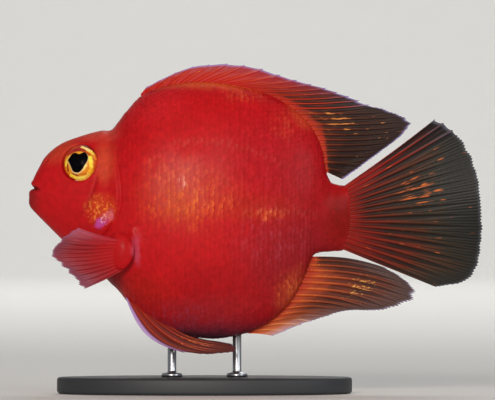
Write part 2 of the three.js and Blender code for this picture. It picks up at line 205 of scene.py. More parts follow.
def to_piece(
    bm: bmesh.types.BMesh, name: str, matrix: Matrix, mirrored: bool = False
) -> bpy.types.Object:
    """Turns a closed bmesh into a piece that rides on the fish.

    Args:
        bm: The finished bmesh, which is freed.
        name: The piece's name.
        matrix: What takes its points to metres in the model.
        mirrored: Whether it goes to the other side of the middle plane.

    Returns:
        The piece's object, with its faces outwards.
    """
    if mirrored:
        bmesh.ops.scale(bm, vec=(1.0, -1.0, 1.0), verts=bm.verts)
    bmesh.ops.recalc_face_normals(bm, faces=bm.faces)
    bmesh.ops.transform(bm, matrix=matrix, verts=bm.verts)
    obj = show(to_mesh(bm, name))
    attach(obj, ROOT)
    return obj


def new_verts(made: dict[str, list]) -> list[bmesh.types.BMVert]:
    """The vertices that an extrusion made."""
    return [item for item in made["geom"] if isinstance(item, bmesh.types.BMVert)]


def paint(obj: bpy.types.Object, material: bpy.types.Material) -> None:
    """Gives an object one material."""
    obj.data.materials.clear()
    obj.data.materials.append(material)


# Shader nodes


def linear(hex_colour: str) -> tuple[float, float, float, float]:
    """Turns an sRGB hex colour to linear red, green, blue and alpha."""
    shares = [int(hex_colour[i : i + 2], 16) / 255.0 for i in (1, 3, 5)]
    return *(s / 12.92 if s <= 0.04045 else ((s + 0.055) / 1.055) ** 2.4 for s in shares), 1.0


def add(
    tree: Tree,
    kind: str,
    inputs: dict[str | int, Any] | None = None,
    stops: Stops = (),
    **settings: Any,
) -> Node:
    """Adds a shader node with its settings and links.

    Args:
        tree: The node tree.
        kind: The node's type, without ShaderNode in front.
        inputs: Sockets by name or number. Each is given a value, the socket that feeds it,
            or a node whose first output feeds it.
        stops: Places on a colour ramp in rising order, each with its sRGB hex colour.
        settings: Properties of the node.

    Returns:
        The new node.
    """
    node = tree.nodes.new("ShaderNode" + kind)
    for name, value in settings.items():
        setattr(node, name, value)
    for key, value in (inputs or {}).items():
        if isinstance(value, Node):
            value = value.outputs[0]
        if isinstance(value, Socket):
            tree.links.new(value, node.inputs[key])
        else:
            node.inputs[key].default_value = value
    if stops:
        elements = node.color_ramp.elements
        elements[0].position, elements[0].color = stops[0][0], linear(stops[0][1])
        elements[1].position, elements[1].color = stops[-1][0], linear(stops[-1][1])
        for place, colour in stops[1:-1]:
            elements.new(place).color = linear(colour)
    return node


def limits(
    start: float = 0.0, end: float = 1.0, low: float = 0.0, high: float = 1.0
) -> dict[str, float]:
    """The inputs that take start to low and end to high."""
    return {"From Min": start, "From Max": end, "To Min": low, "To Max": high}


def layered(tree: Tree, colour: Any, layers: Iterable[tuple[Any, Any]]) -> Any:
    """Lays colours over one another.

    Args:
        tree: The node tree.
        colour: The lowest colour.
        layers: Masks from 0 to 1, each with the colour or the sRGB hex colour it lets through.

    Returns:
        The colour with all the layers on it.
    """
    for mask, over in layers:
        top = linear(over) if isinstance(over, str) else over
        colour = add(tree, "Mix", {0: mask, 6: colour, 7: top}, data_type="RGBA").outputs[2]
    return colour


def toned(tree: Tree, colour: Any, value: Any, levels: Pair, span: Pair = (0.0, 1.0)) -> Node:
    """Makes a colour darker and lighter by a value.

    Args:
        tree: The node tree.
        colour: The colour.
        value: What it follows.
        levels: The brightness at both ends of the span.
        span: The values at its ends.

    Returns:
        The toned colour.
    """
    level = add(tree, "MapRange", {"Value": value, **limits(*span, *levels)})
    return add(tree, "VectorMath", {0: colour, "Scale": level}, operation="SCALE")


def streaks(tree: Tree, place: Any, counts: Sequence[float], detail: float) -> Node:
    """Noise that may be stretched along an axis.

    Args:
        tree: The node tree.
        place: Where it is read.
        counts: Its patches to a unit of each axis.
        detail: Its finer and finer layers.

    Returns:
        The noise, from 0 to 1.
    """
    grown = add(tree, "VectorMath", {0: place, 1: counts}, operation="MULTIPLY")
    return add(tree, "TexNoise", {"Vector": grown, "Scale": 1.0, "Detail": detail})


def strayed(tree: Tree, place: Any, scale: float, reach: Triple) -> Node:
    """Bends a place by noise.

    Args:
        tree: The node tree.
        place: The place.
        scale: The noise's patches to a unit.
        reach: How far it bends along each axis.

    Returns:
        The bent place.
    """
    wander = add(tree, "TexNoise", {"Vector": place, "Scale": scale, "Detail": 3.0})
    inputs = {0: wander.outputs["Color"], 1: (0.5, 0.5, 0.5)}
    centred = add(tree, "VectorMath", inputs, operation="SUBTRACT")
    return add(tree, "VectorMath", {0: centred, 1: reach, 2: place}, operation="MULTIPLY_ADD")


def spot(
    tree: Tree, place: Any, centre: Triple, radii: Triple, fade: Pair, strength: float
) -> Node:
    """A soft-edged mask round a point.

    Args:
        tree: The node tree.
        place: Where it is read.
        centre: Its middle.
        radii: Its half sizes.
        fade: Shares of the radii where it starts to fade and where it has gone.
        strength: Its value in the middle.

    Returns:
        The mask.
    """
    gap = add(tree, "VectorMath", {0: place, 1: centre}, operation="SUBTRACT")
    share = add(tree, "VectorMath", {0: gap, 1: radii}, operation="DIVIDE")
    far = add(tree, "VectorMath", {0: share}, operation="LENGTH").outputs["Value"]
    return add(tree, "MapRange", {"Value": far, **limits(*fade, strength, 0.0)}, **SOFT)


# The fish's frame


@dataclass(frozen=True)
class FishFrame:
    """Where the fish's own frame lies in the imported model, read from the stand's base.

    Args:
        base_x: Place of the base's middle along the fish.
        air: Drop from the axis of the tail stalk to the base's upper face.
    """

    base_x: float = 71.0
    air: float = 63.6

    @property
    def origin(self) -> Vector:
        """The frame's origin in metres."""
        low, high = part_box("stand_base")
        return Vector(((low.x + high.x) / 2.0 - self.base_x * MM, 0.0, high.z + self.air * MM))

    @property
    def matrix(self) -> Matrix:
        """The matrix that takes fish millimetres to metres in the model."""
        return Matrix.Translation(self.origin) @ Matrix.Scale(MM, 4)


@dataclass
class GillEdge:
    """The rear edge of the gill cover in the side view.

    Args:
        points: x and z down the edge from the nape to the throat.
        lift: How far the cover stands proud of the shoulder.
        reach: Length over which the cheek rises to that.
        step: Length over which it falls to the shoulder behind the edge.
        groove: Depth and half width of the groove behind the step.
        foot: Heights between which the cover comes up from the throat.
        crown: Heights between which it fades into the nape.
    """

    points: Rows = (
        (33.0, 46.0), (33.9, 35.4), (34.8, 26.0), (36.4, 15.0), (36.6, 6.0),
        (34.2, -1.6), (29.6, -8.0), (24.0, -15.0), (18.0, -28.0),
    )
    lift: float = 1.1
    reach: float = 13.0
    step: float = 0.9
    groove: Pair = (0.3, 0.7)
    foot: Pair = (-25.0, -9.0)
    crown: Pair = (17.0, 29.0)

    def __post_init__(self) -> None:
        """Samples the edge once as z and x, from its lowest point up."""
        self.samples = dense(self.points, 90)[::-1, ::-1]

    def x_at(self, z: float) -> float:
        """The edge's x at a height."""
        return between(self.samples, z)

    def relief(self, x: float, z: float) -> float:
        """Finds how the cover stands out.

        Args:
            x: Place along the fish in the side view.
            z: Height in the side view.

        Returns:
            Its height over the plain body.
        """
        cover = smooth(*self.foot, z) * (1.0 - smooth(*self.crown, z))
        behind = x - self.x_at(z)
        if behind <= 0.0:
            return cover * self.lift * smooth(-self.reach, 0.0, behind)
        fall = 1.0 - smooth(0.0, self.step, behind)
        depth, width = self.groove
        return cover * (self.lift * fall - depth * bell(behind - self.step, width))


@dataclass
class EyeSeat:
    """Where an eye sits, and its own axes.

    Args:
        centre: The left eye's middle, with y as the distance from the middle plane.
        radii: Half width, half height and half depth of the eyeball.
        turn: Degrees that the eye looks forward.
        lift: Degrees that it looks up.
    """

    centre: Triple = (21.9, 8.0, 21.7)
    radii: Triple = (7.3, 7.6, 4.9)
    turn: float = 20.0
    lift: float = 12.0

    def __post_init__(self) -> None:
        """Works out the left eye's axes: to its rear, up, and along its sight."""
        turned = Matrix.Rotation(math.radians(-self.turn), 3, "Z")
        turned = turned @ Matrix.Rotation(math.radians(-self.lift), 3, "X")
        self.rear = turned @ Vector((1.0, 0.0, 0.0))
        self.up = turned @ Vector((0.0, 0.0, 1.0))
        self.sight = turned @ Vector((0.0, -1.0, 0.0))
        self.middle = Vector((self.centre[0], -self.centre[1], self.centre[2]))

    def local(self, point: Vector) -> Triple:
        """A point of either side in the eye's axes: rear, up and out, in millimetres."""
        gap = Vector((point.x, -abs(point.y), point.z)) - self.middle
        return gap.dot(self.rear), gap.dot(self.up), gap.dot(self.sight)

    def ring(self, point: Vector) -> float:
        """Distance from the eye's axis as a share of the eyeball's radius."""
        a, b, _ = self.local(point)
        return math.hypot(a / self.radii[0], b / self.radii[1])

    def place(self, a: float, b: float, out: float, side: Side) -> Vector:
        """A point given in the eye's axes, in the fish's frame."""
        point = self.middle + self.rear * a + self.up * b + self.sight * out
        return Vector((point.x, -side.value * point.y, point.z))

    def dome(self, a: float, b: float) -> float:
        """How far out the eyeball's surface is at a point of the eye's own plane."""
        ring = min(math.hypot(a / self.radii[0], b / self.radii[1]), 1.0)
        return self.radii[2] * math.sqrt(1.0 - ring * ring)

    def from_side(self, x: float, z: float) -> Pair:
        """Finds a place of the left iris by how it is seen square from the side.

        Args:
            x: Distance behind the eye's middle in the side view.
            z: Height above it.

        Returns:
            The place in the eye's own plane.
        """
        tries, gain = 12, 0.7
        a, b = x, z
        for _ in range(tries):
            seen = self.rear * a + self.up * b + self.sight * self.dome(a, b)
            a, b = a + gain * (x - seen.x), b + gain * (z - seen.z)
        return a, b


# Finishes


class Finish:
    """What a surface is made of: a finish has a name and feeds the sockets of a shader."""

    name: str

    def fed(self, tree: Tree) -> dict[str, Any]:
        """Builds the nodes and says what the shader's sockets are fed."""
        raise NotImplementedError

    def material(self) -> bpy.types.Material:
        """Makes the material.

        Returns:
            The material, with the finish's name.
        """
        material = bpy.data.materials.new(self.name)
        material.use_nodes = True
        tree = material.node_tree
        tree.nodes.clear()
        shader = add(tree, "BsdfPrincipled", self.fed(tree))
        add(tree, "OutputMaterial", {"Surface": shader})
        return material


@dataclass(frozen=True)
class Marking:
    """A soft patch of colour on the fish.

    Args:
        colour: Its sRGB hex colour.
        centre: Its middle, with y as the distance from the middle plane.
        radii: Its half sizes.
        strength: How much of the colour shows in the middle.
        core: Share of the radii that has it in full.
    """

    colour: str
    centre: Triple
    radii: Triple
    strength: float = 1.0
    core: float = 0.25

    def mask(self, tree: Tree, place: Any, share: Any = None) -> Node:
        """Makes the patch's mask.

        Args:
            tree: The node tree.
            place: The place on the fish in millimetres.
            share: What the mask is multiplied by, if anything.

        Returns:
            The mask.
        """
        mask = spot(tree, place, self.centre, self.radii, (self.core, 1.0), self.strength)
        if share is None:
            return mask
        return add(tree, "Math", {0: mask, 1: share}, operation="MULTIPLY")


@dataclass(frozen=True)
class FishSkin(Finish):
    """Living fish skin over pigment cells, under a film of mucus: deep colour and a soft low gloss.

    The markings are shared by the skin and the scales, which add a painted highlight on each rear rim.

    Args:
        frame: The fish's frame.
        scaled: Whether it is for the scales.
        base: The red all over.
        roughness: The mean roughness.
        uneven: How far the roughness strays from it.
        markings: Patches, each laid over the ones before it; some are painted light and shade.
        flecks: Patches that show only as flecks of reflecting cells.
        rim_highlights: Patches of painted highlight on the scale rims of the flank.
        pored: Colour of the pored scales of the lateral line.
        pored_share: How much of it shows on their rims.
        fold: Colour of the painted shade deep in a fold.
    """

    frame: FishFrame
    scaled: bool
    base: str = "#b6151a"
    roughness: float = 0.42
    uneven: float = 0.08
    markings: tuple[Marking, ...] = (
        Marking("#861a20", (112.0, 8.0, -18.0), (46.0, 40.0, 36.0), 0.8),
        Marking("#8e1216", (74.0, 14.0, -27.0), (24.0, 30.0, 15.0), 0.5),
        Marking("#c4242a", (50.0, 8.0, 45.0), (20.0, 22.0, 13.0), 0.5),
        Marking("#9c1620", (100.0, 8.0, 24.0), (34.0, 40.0, 26.0), 0.5),
        Marking("#86242a", (73.0, 10.0, -38.0), (32.0, 30.0, 11.0), 0.5),
        Marking("#522a3a", (72.0, 3.0, -52.5), (46.0, 26.0, 18.0), 0.95),
        Marking("#992014", (46.0, 14.0, -30.0), (18.0, 30.0, 12.0), 0.4),
        # Orange band of scales along the back fin's root, lightened further as painted light against
        # the shade on the back's upper edge.
        Marking("#d85828", (76.0, 1.0, 54.0), (38.0, 12.0, 6.0), 0.8),
        Marking("#c8482a", (110.0, 2.0, 42.0), (9.0, 11.0, 11.0), 0.65),
        Marking("#be3e28", (12.0, 4.0, 28.0), (14.0, 20.0, 9.0), 0.75),
        Marking("#c4452c", (31.5, 14.0, 22.0), (7.0, 30.0, 12.0), 0.8),
        Marking("#ca483a", (28.0, 5.0, 34.0), (14.0, 16.0, 5.5), 0.75),
        Marking("#8a1a1e", (2.0, 2.0, 8.6), (8.0, 9.0, 8.0), 0.85),
        # Painted shadow in the corner of the mouth.
        Marking("#4c0e0e", (3.0, 3.2, 11.6), (2.2, 3.6, 1.8), 0.7),
        Marking("#c8501e", (30.0, 16.0, 3.6), (8.0, 20.0, 8.0), 0.45),
        Marking("#bc4496", (29.8, 17.0, -1.8), (3.6, 20.0, 2.6), 0.95, 0.4),
        Marking("#cf6074", (32.8, 17.0, 1.4), (2.4, 20.0, 3.2), 0.75, 0.3),
        Marking("#900f14", (112.0, 12.0, 12.0), (20.0, 30.0, 24.0), 0.5),
        Marking("#a01418", (37.0, 20.0, -13.5), (7.0, 20.0, 8.0), 0.5),
        Marking("#7e100c", (126.5, 5.0, -1.0), (12.0, 12.0, 19.0), 0.95),
        # Orange tint near the vent fin's root, strengthened as painted light against the shade where
        # the body curves away.
        Marking("#b84426", (108.0, 6.0, -31.0), (13.0, 14.0, 15.0), 0.7, 0.1),
        # Painted shade on the throat under the breast fin.
        Marking("#6a1216", (31.0, 6.0, -25.0), (14.0, 14.0, 9.0), 0.6),
        # Painted light: warmer orange on the mid flank where the light falls, under the painted
        # highlights.
        Marking("#b82e18", (64.0, 20.0, 10.0), (26.0, 30.0, 17.0), 0.55),
        Marking("#be400e", (61.0, 20.0, 5.0), (11.0, 30.0, 10.0), 0.5),
        Marking("#a42818", (92.0, 18.0, 4.0), (22.0, 30.0, 9.0), 0.5),
        Marking("#c04a62", (44.6, 20.0, -12.8), (2.8, 20.0, 8.6), 0.7),
    )
    flecks: tuple[Marking, ...] = (
        Marking("#f0883a", (29.4, 16.0, 3.6), (8.0, 20.0, 7.6), 0.85),
        Marking("#f3b8d0", (30.4, 17.0, -0.8), (3.4, 20.0, 3.0), 0.9),
    )
    rim_highlights: tuple[Marking, ...] = (
        Marking("#c43a46", (94.0, 16.0, 16.0), (34.0, 40.0, 34.0), 0.35, 0.1),
        Marking("#a84c5c", (99.0, 16.0, -9.0), (26.0, 30.0, 18.0), 0.55, 0.1),
        Marking("#7c4058", (58.0, 12.0, -41.0), (32.0, 22.0, 11.0), 0.55, 0.2),
        Marking("#e8783c", (107.0, 10.0, -29.0), (12.0, 16.0, 14.0), 0.65, 0.1),
        Marking("#f07420", (65.0, 20.0, 7.0), (28.0, 40.0, 16.0), 0.8, 0.15),
        Marking("#ea6e3c", (59.0, 20.0, 19.0), (17.0, 40.0, 9.0), 0.6, 0.15),
        Marking("#e07040", (88.0, 10.0, 50.0), (14.0, 18.0, 6.0), 0.55, 0.2),
        Marking("#e07040", (104.0, 12.0, 39.0), (10.0, 18.0, 11.0), 0.35, 0.1),
        Marking("#f4803a", (95.0, 18.0, 1.4), (13.0, 30.0, 3.2), 0.7, 0.2),
        Marking("#f4b4a4", (62.2, 20.0, 14.4), (3.4, 20.0, 4.0), 0.9, 0.3),
    )
    pored: str = "#f0a080"
    pored_share: float = 0.1
    fold: str = "#520c0e"

    @property
    def name(self) -> str:
        """The material's name."""
        return "wet_scales" if self.scaled else "wet_fish_skin"

    def _place(self, tree: Tree) -> Node:
        """Finds the place on the fish from Object coordinates.

        Args:
            tree: The node tree.

        Returns:
            Fish millimetres, with y as the distance from the middle plane.
        """
        where = add(tree, "TexCoord").outputs["Object"]
        origin = tuple(self.frame.origin)
        moved = add(tree, "VectorMath", {0: where, 1: origin}, operation="SUBTRACT")
        grown = add(tree, "VectorMath", {0: moved, "Scale": 1.0 / MM}, operation="SCALE")
        axes = add(tree, "SeparateXYZ", {0: grown}).outputs
        away = add(tree, "Math", {0: axes["Y"]}, operation="ABSOLUTE")
        return add(tree, "CombineXYZ", {0: axes["X"], 1: away, 2: axes["Z"]})

    def _colours(self, tree: Tree, place: Node, warped: Node) -> Socket:
        """Lays the markings over the base.

        Args:
            tree: The node tree.
            place: The place on the fish in millimetres.
            warped: The place bent by the blotches.

        Returns:
            The colour.
        """
        patches = [(patch.mask(tree, warped), patch.colour) for patch in self.markings]
        colour = layered(tree, linear(self.base), patches)
        # Reflecting cells lie in flecks about 0.8 mm across.
        grain = {"Vector": place, "Scale": 0.85, "Detail": 2.0, "Roughness": 0.6}
        picked = {"Value": add(tree, "TexNoise", grain), **limits(0.5, 0.66)}
        fleck = add(tree, "MapRange", picked, **SOFT)
        flecks = [(patch.mask(tree, place, fleck), patch.colour) for patch in self.flecks]
        colour = layered(tree, colour, flecks)
        mottle = add(tree, "TexNoise", {"Vector": place, "Scale": 0.5, "Detail": 4.0})
        colour = toned(tree, colour, mottle, (0.88, 1.1), (0.3, 0.7))
        # Painted shade darkens the skin in the head's grooves, by their depth.
        fold = add(tree, "Attribute", attribute_name="fold").outputs["Fac"]
        return layered(tree, colour, [(fold, self.fold)])

    def _rims(self, tree: Tree, place: Node, warped: Node, colour: Socket) -> Socket:
        """Paints a highlight on each scale's rear rim, strongest on the flank where the light falls,
        and varies its tone.

        Args:
            tree: The node tree.
            place: The place on the fish in millimetres.
            warped: The place bent by the blotches.
            colour: The colour under the rims.

        Returns:
            The colour with the rims.
        """
        names = ("rim", "tone", "pore")
        rim, tone, pore = (add(tree, "Attribute", attribute_name=n).outputs["Fac"] for n in names)
        colour = toned(tree, colour, tone, (0.95, 1.05))
        # Painted highlight: every scale's rear rim is a little lighter.
        colour = toned(tree, colour, rim, (0.97, 1.12))
        # The painted highlight is broken into upright flames about 3 mm wide, and each scale has its
        # share.
        flame = streaks(tree, place, (0.32, 0.1, 0.14), 2.0)
        lit = add(tree, "MapRange", {"Value": flame, **limits(0.38, 0.62, 0.1, 0.8)})
        own = add(tree, "MapRange", {"Value": tone, **limits(low=0.35, high=1.4)})
        on_line = pore
        for factor in (own, rim):
            lit = add(tree, "Math", {0: lit, 1: factor}, operation="MULTIPLY")
        for factor in (rim, self.pored_share):
            on_line = add(tree, "Math", {0: on_line, 1: factor}, operation="MULTIPLY")
        rim_highlights = [(highlight.mask(tree, warped, lit), highlight.colour) for highlight in self.rim_highlights]
        return layered(tree, colour, [*rim_highlights, (on_line, self.pored)])

    def fed(self, tree: Tree) -> dict[str, Any]:
        """Builds the skin's nodes.

        Args:
            tree: The node tree.

        Returns:
            What the shader's sockets are fed.
        """
        place = self._place(tree)
        # Blotches of pigment about 6 mm across break up the outlines of the markings.
        warped = strayed(tree, place, 0.16, (6.0, 0.0, 6.0))
        colour = self._colours(tree, place, warped)
        if self.scaled:
            colour = self._rims(tree, place, warped, colour)
        # Pores and mucus grain are about 0.1 mm, drawn at 0.5 mm so that they show.
        grain = add(tree, "TexNoise", {"Vector": place, "Scale": 2.0, "Detail": 3.0})
        bump = add(tree, "Bump", {"Strength": 0.2, "Distance": 0.1 * MM, "Height": grain})
        ends = limits(low=self.roughness - self.uneven, high=self.roughness + self.uneven)
        rough = add(tree, "MapRange", {"Value": grain, **ends})
        gloss = {"IOR": 1.4, "Specular IOR Level": 0.1, "Coat Weight": 0.035, "Coat Roughness": 0.2}
        return {"Base Color": colour, "Roughness": rough, "Normal": bump, **gloss}


@dataclass(frozen=True)
class FinMembrane(Finish):
    """Fin membrane stretched over bony rays: thin, moist and smoky, so a little light comes through.

    It follows the fin's own UV map, where u runs along the fin and v outwards.

    Args:
        name: The material's name.
        rays: Number of rays.
        sheet: Membrane colours from the root to the edge.
        front: Membrane colours towards the end of the fin that front_range names.
        front_range: u where the front colours start and where they are in full.
        tide: u round which the outer colours come nearer the root, half breadth, and how far.
        ray: Ray colours from the root to the tip.
        spine: Ray colours of the hard rays.
        margin: Colour of the outer margin, and how much of it shows.
        glint: Colour of the painted highlights on ray segments.
        glint_spot: u and v of the middle of their patch, and its half sizes.
        glint_rows: Number of highlight lengths in a ray.
        alpha: Cover of the membrane at the root and at the edge.
    """

    name: str
    rays: int
    sheet: Stops
    front: Stops
    front_range: Pair
    tide: Triple
    ray: Stops
    spine: Stops
    margin: tuple[str, float]
    glint: str
    glint_spot: tuple[float, float, float, float]
    glint_rows: float = 34.0
    alpha: Pair = (1.0, 0.93)

    def _way(self, tree: Tree, u: Socket, v: Socket, cloud: Node) -> Node:
        """Finds how far out a point counts for its colours.

        Args:
            tree: The node tree.
            u: Place along the fin.
            v: Place outwards.
            cloud: The clouds of pigment.

        Returns:
            v moved by the clouds and by the tide.
        """
        drift = add(tree, "MapRange", {"Value": cloud, **limits(low=-0.2, high=0.2)})
        way = add(tree, "Math", {0: v, 1: drift}, operation="ADD")
        middle, breadth, gain = self.tide
        aside = add(tree, "Math", {0: u, 1: middle}, operation="SUBTRACT")
        aside = add(tree, "Math", {0: aside}, operation="ABSOLUTE")
        nearer = {"Value": aside, **limits(0.0, breadth, gain, 0.0)}
        nearer = add(tree, "MapRange", nearer, **SOFT)
        # The root itself keeps the colour of the flesh.
        out = add(tree, "MapRange", {"Value": v, **limits(end=0.14)}, **SOFT)
        return add(tree, "Math", {0: nearer, 1: out, 2: way}, operation="MULTIPLY_ADD")

    def _beads(self, tree: Tree, span: Node) -> Node:
        """Picks ray segments, about 0.7 mm wide, inside one patch of the fin, for painted highlights.

        Args:
            tree: The node tree.
            span: The fin's UV map.

        Returns:
            The mask of the painted highlights.
        """
        specks = streaks(tree, span, (self.rays * 4.0, self.glint_rows, 1.0), 1.0)
        u, v, wide, long = self.glint_spot
        bias = spot(tree, span, (u, v, 0.0), (wide, long, 1.0), (0.3, 1.3), 0.2)
        raised = add(tree, "Math", {0: specks, 1: bias}, operation="ADD")
        return add(tree, "MapRange", {"Value": raised, **limits(0.68, 0.8, high=0.9)}, **SOFT)

    def fed(self, tree: Tree) -> dict[str, Any]:
        """Builds the fin's nodes.

        Args:
            tree: The node tree.

        Returns:
            What the shader's sockets are fed.
        """
        span = add(tree, "UVMap", uv_map="Span")
        axes = add(tree, "SeparateXYZ", {0: span}).outputs
        u, v = axes["X"], axes["Y"]
        names = ("ray", "spine", "margin")
        ray, hard, edge = (add(tree, "Attribute", attribute_name=n).outputs["Fac"] for n in names)
        # Clouds of pigment run along the membranes, a ray or two wide.
        cloud = streaks(tree, span, (self.rays * 0.7, 5.0, 1.0), 4.0)
        way = self._way(tree, u, v, cloud)
        sheet, front, soft, spine = (
            add(tree, "ValToRGB", {0: way}, stops)
            for stops in (self.sheet, self.front, self.ray, self.spine)
        )
        forward = {"Value": u, **limits(*self.front_range)}
        colour = layered(tree, sheet, [(add(tree, "MapRange", forward, **SOFT), front)])
        bone = layered(tree, soft, [(hard, spine)])
        thick = add(tree, "MapRange", {"Value": ray, **limits(0.3, 0.95, high=0.85)})
        # Fine bony threads, about 0.4 mm apart, run beside the rays.
        thread = streaks(tree, span, (self.rays * 9.0, 3.0, 1.0), 1.0)
        spun = add(tree, "MapRange", {"Value": thread, **limits(0.52, 0.75, high=0.4)})
        on_ray = add(tree, "Math", {0: thick, 1: spun}, operation="MAXIMUM")
        # Painted highlights on some ray segments, only where there is a ray.
        lit = add(tree, "Math", {0: self._beads(tree, span), 1: on_ray}, operation="MULTIPLY")
        # The pale margin is patchy.
        tint, most = self.margin
        patchy = add(tree, "MapRange", {"Value": cloud, **limits(0.3, 0.6, 0.35, most)})
        pale = add(tree, "Math", {0: edge, 1: patchy}, operation="MULTIPLY")
        colour = layered(tree, colour, [(on_ray, bone), (lit, self.glint), (pale, tint)])
        cover = add(tree, "MapRange", {"Value": v, **limits(0.1, 1.0, *self.alpha)})
        opaque = add(tree, "Mix", {0: on_ray, 2: cover, 3: 1.0}, data_type="FLOAT")
        bump = add(tree, "Bump", {"Strength": 0.2, "Distance": 0.1 * MM, "Height": cloud})
        gloss = {"Roughness": 0.4, "IOR": 1.4, "Specular IOR Level": 0.2}
        return {"Base Color": colour, "Alpha": opaque, "Normal": bump, **gloss}


@dataclass(frozen=True)
class IrisStroke:
    """A soft stroke of colour on the iris, placed as seen square from the side.

    Args:
        colour: Its sRGB hex colour.
        start: Distance behind and above the eye's middle of one end in millimetres.
        end: The same for its other end.
        breadth: Its half breadth.
        strength: How much of the colour shows along its middle.
        fade: Shares of the half breadth where the colour starts to fade and where it has gone.
    """

    colour: str
    start: Pair
    end: Pair
    breadth: float
    strength: float = 0.95
    fade: Pair = (0.5, 1.3)

    def mask(self, tree: Tree, place: Node, seat: EyeSeat) -> Node:
        """Makes the stroke's mask from the distance to the line between its ends.

        Args:
            tree: The node tree.
            place: The place on the iris in shares of the eyeball's radius.
            seat: The eye.

        Returns:
            The mask.
        """
        wide, tall, _ = seat.radii
        start, end = (Vector((*seat.from_side(*tip), 0.0)) for tip in (self.start, self.end))
        way = end - start
        from_start = {0: place, 1: (wide, tall, 0.0), 2: tuple(-start)}
        gap = add(tree, "VectorMath", from_start, operation="MULTIPLY_ADD")
        dot = {0: gap, 1: tuple(way / way.length_squared)}
        share = add(tree, "VectorMath", dot, operation="DOT_PRODUCT").outputs["Value"]
        held = add(tree, "MapRange", {"Value": share})
        nearest = add(tree, "VectorMath", {0: tuple(way), "Scale": held}, operation="SCALE")
        far = add(tree, "VectorMath", {0: gap, 1: nearest}, operation="DISTANCE").outputs["Value"]
        ends = limits(*(part * self.breadth for part in self.fade), self.strength, 0.0)
        return add(tree, "MapRange", {"Value": far, **ends}, **SOFT)


@dataclass(frozen=True)
class GoldIris(Finish):
    """The iris: reflecting crystals behind clear skin, gold with orange and red gaps.

    It follows the eyeball's own flat UV map, in shares of the eyeball's radius.

    Args:
        seat: The eye that it belongs to.
        name: The material's name.
        rings: Colours from the eye's axis out, each with its share of the eyeball's radius.
        strokes: What breaks the rings, each laid over the ones before it.
    """

    seat: EyeSeat
    name: str = "gold_iris"
    rings: Stops = (
        (0.0, "#e9a52a"), (0.5, "#f0a828"), (0.7, "#e88a1c"), (0.8, "#e8941e"),
        (0.87, "#e2701c"), (0.91, "#c63c18"), (0.95, "#84180f"), (1.0, "#380a08"),
    )
    strokes: tuple[IrisStroke, ...] = (
        IrisStroke("#b82a1a", (-5.0, 4.2), (-0.6, 6.3), 1.4, 0.97),
        IrisStroke("#a01822", (-2.6, 5.4), (1.4, 5.3), 0.7),
        IrisStroke("#5a120c", (0.6, 7.5), (4.6, 5.7), 0.35, 0.9),
        IrisStroke("#ffe884", (0.2, 6.7), (2.0, 6.0), 0.45),
        IrisStroke("#ffee90", (2.0, 6.0), (3.8, 4.9), 0.5),
        IrisStroke("#ffdc58", (3.8, 4.9), (5.2, 3.4), 0.45),
        IrisStroke("#f4983a", (5.2, 3.4), (5.9, 1.6), 0.4),
        IrisStroke("#a8380c", (0.8, 5.1), (3.1, 3.8), 0.5),
        IrisStroke("#bc4a0c", (3.1, 3.8), (4.9, 1.6), 0.4),
        IrisStroke("#f8ec48", (3.6, 2.4), (3.8, 0.8), 0.8),
        IrisStroke("#ffe040", (3.9, 0.4), (4.2, -1.2), 0.7),
        IrisStroke("#fff078", (2.1, -0.7), (0.9, -2.4), 0.3),
        IrisStroke("#e06a24", (5.9, 0.6), (5.6, -2.2), 0.5),
        IrisStroke("#e08408", (2.7, -1.9), (1.7, -3.2), 0.5),
        IrisStroke("#f6b826", (4.2, -2.6), (3.3, -4.2), 0.8),
        IrisStroke("#f9cc54", (3.2, -4.7), (1.6, -5.6), 0.75),
        IrisStroke("#cc6c0e", (-0.4, -4.5), (1.9, -4.0), 0.4),
        IrisStroke("#9c4408", (-3.4, -4.1), (-1.2, -4.8), 0.35),
        IrisStroke("#ffec64", (-1.4, -6.0), (1.4, -6.0), 0.8),
        IrisStroke("#ffe848", (-4.2, -4.7), (-2.2, -5.6), 0.6),
        IrisStroke("#942808", (-5.2, -2.9), (-5.4, -0.6), 0.45),
        IrisStroke("#fff04c", (-6.1, -0.6), (-5.8, 1.5), 0.55),
        IrisStroke("#fcc45c", (-5.8, 1.5), (-4.6, 3.0), 0.35),
        IrisStroke("#ffd8c0", (-2.2, -7.1), (-1.4, -7.1), 0.4, 0.9),
    )

    def fed(self, tree: Tree) -> dict[str, Any]:
        """Builds the iris's nodes.

        Args:
            tree: The node tree.

        Returns:
            What the shader's sockets are fed.
        """
        flat = add(tree, "UVMap", uv_map="Iris")
        bent = strayed(tree, flat, 3.6, (0.08, 0.08, 0.0))
        ring = add(tree, "VectorMath", {0: bent}, operation="LENGTH").outputs["Value"]
        strokes = [(stroke.mask(tree, bent, self.seat), stroke.colour) for stroke in self.strokes]
        colour = layered(tree, add(tree, "ValToRGB", {0: ring}, self.rings), strokes)
        # Fibres and crystals of the iris, about 0.4 mm across.
        crystals = add(tree, "TexNoise", {"Vector": flat, "Scale": 17.0, "Detail": 2.0})
        colour = toned(tree, colour, crystals, (0.9, 1.2), (0.3, 0.7))
        bump = add(tree, "Bump", {"Strength": 0.3, "Distance": 0.15 * MM, "Height": crystals})
        gloss = {"Roughness": 0.4, "Specular IOR Level": 0.3}
        return {"Base Color": colour, "Normal": bump, **gloss}


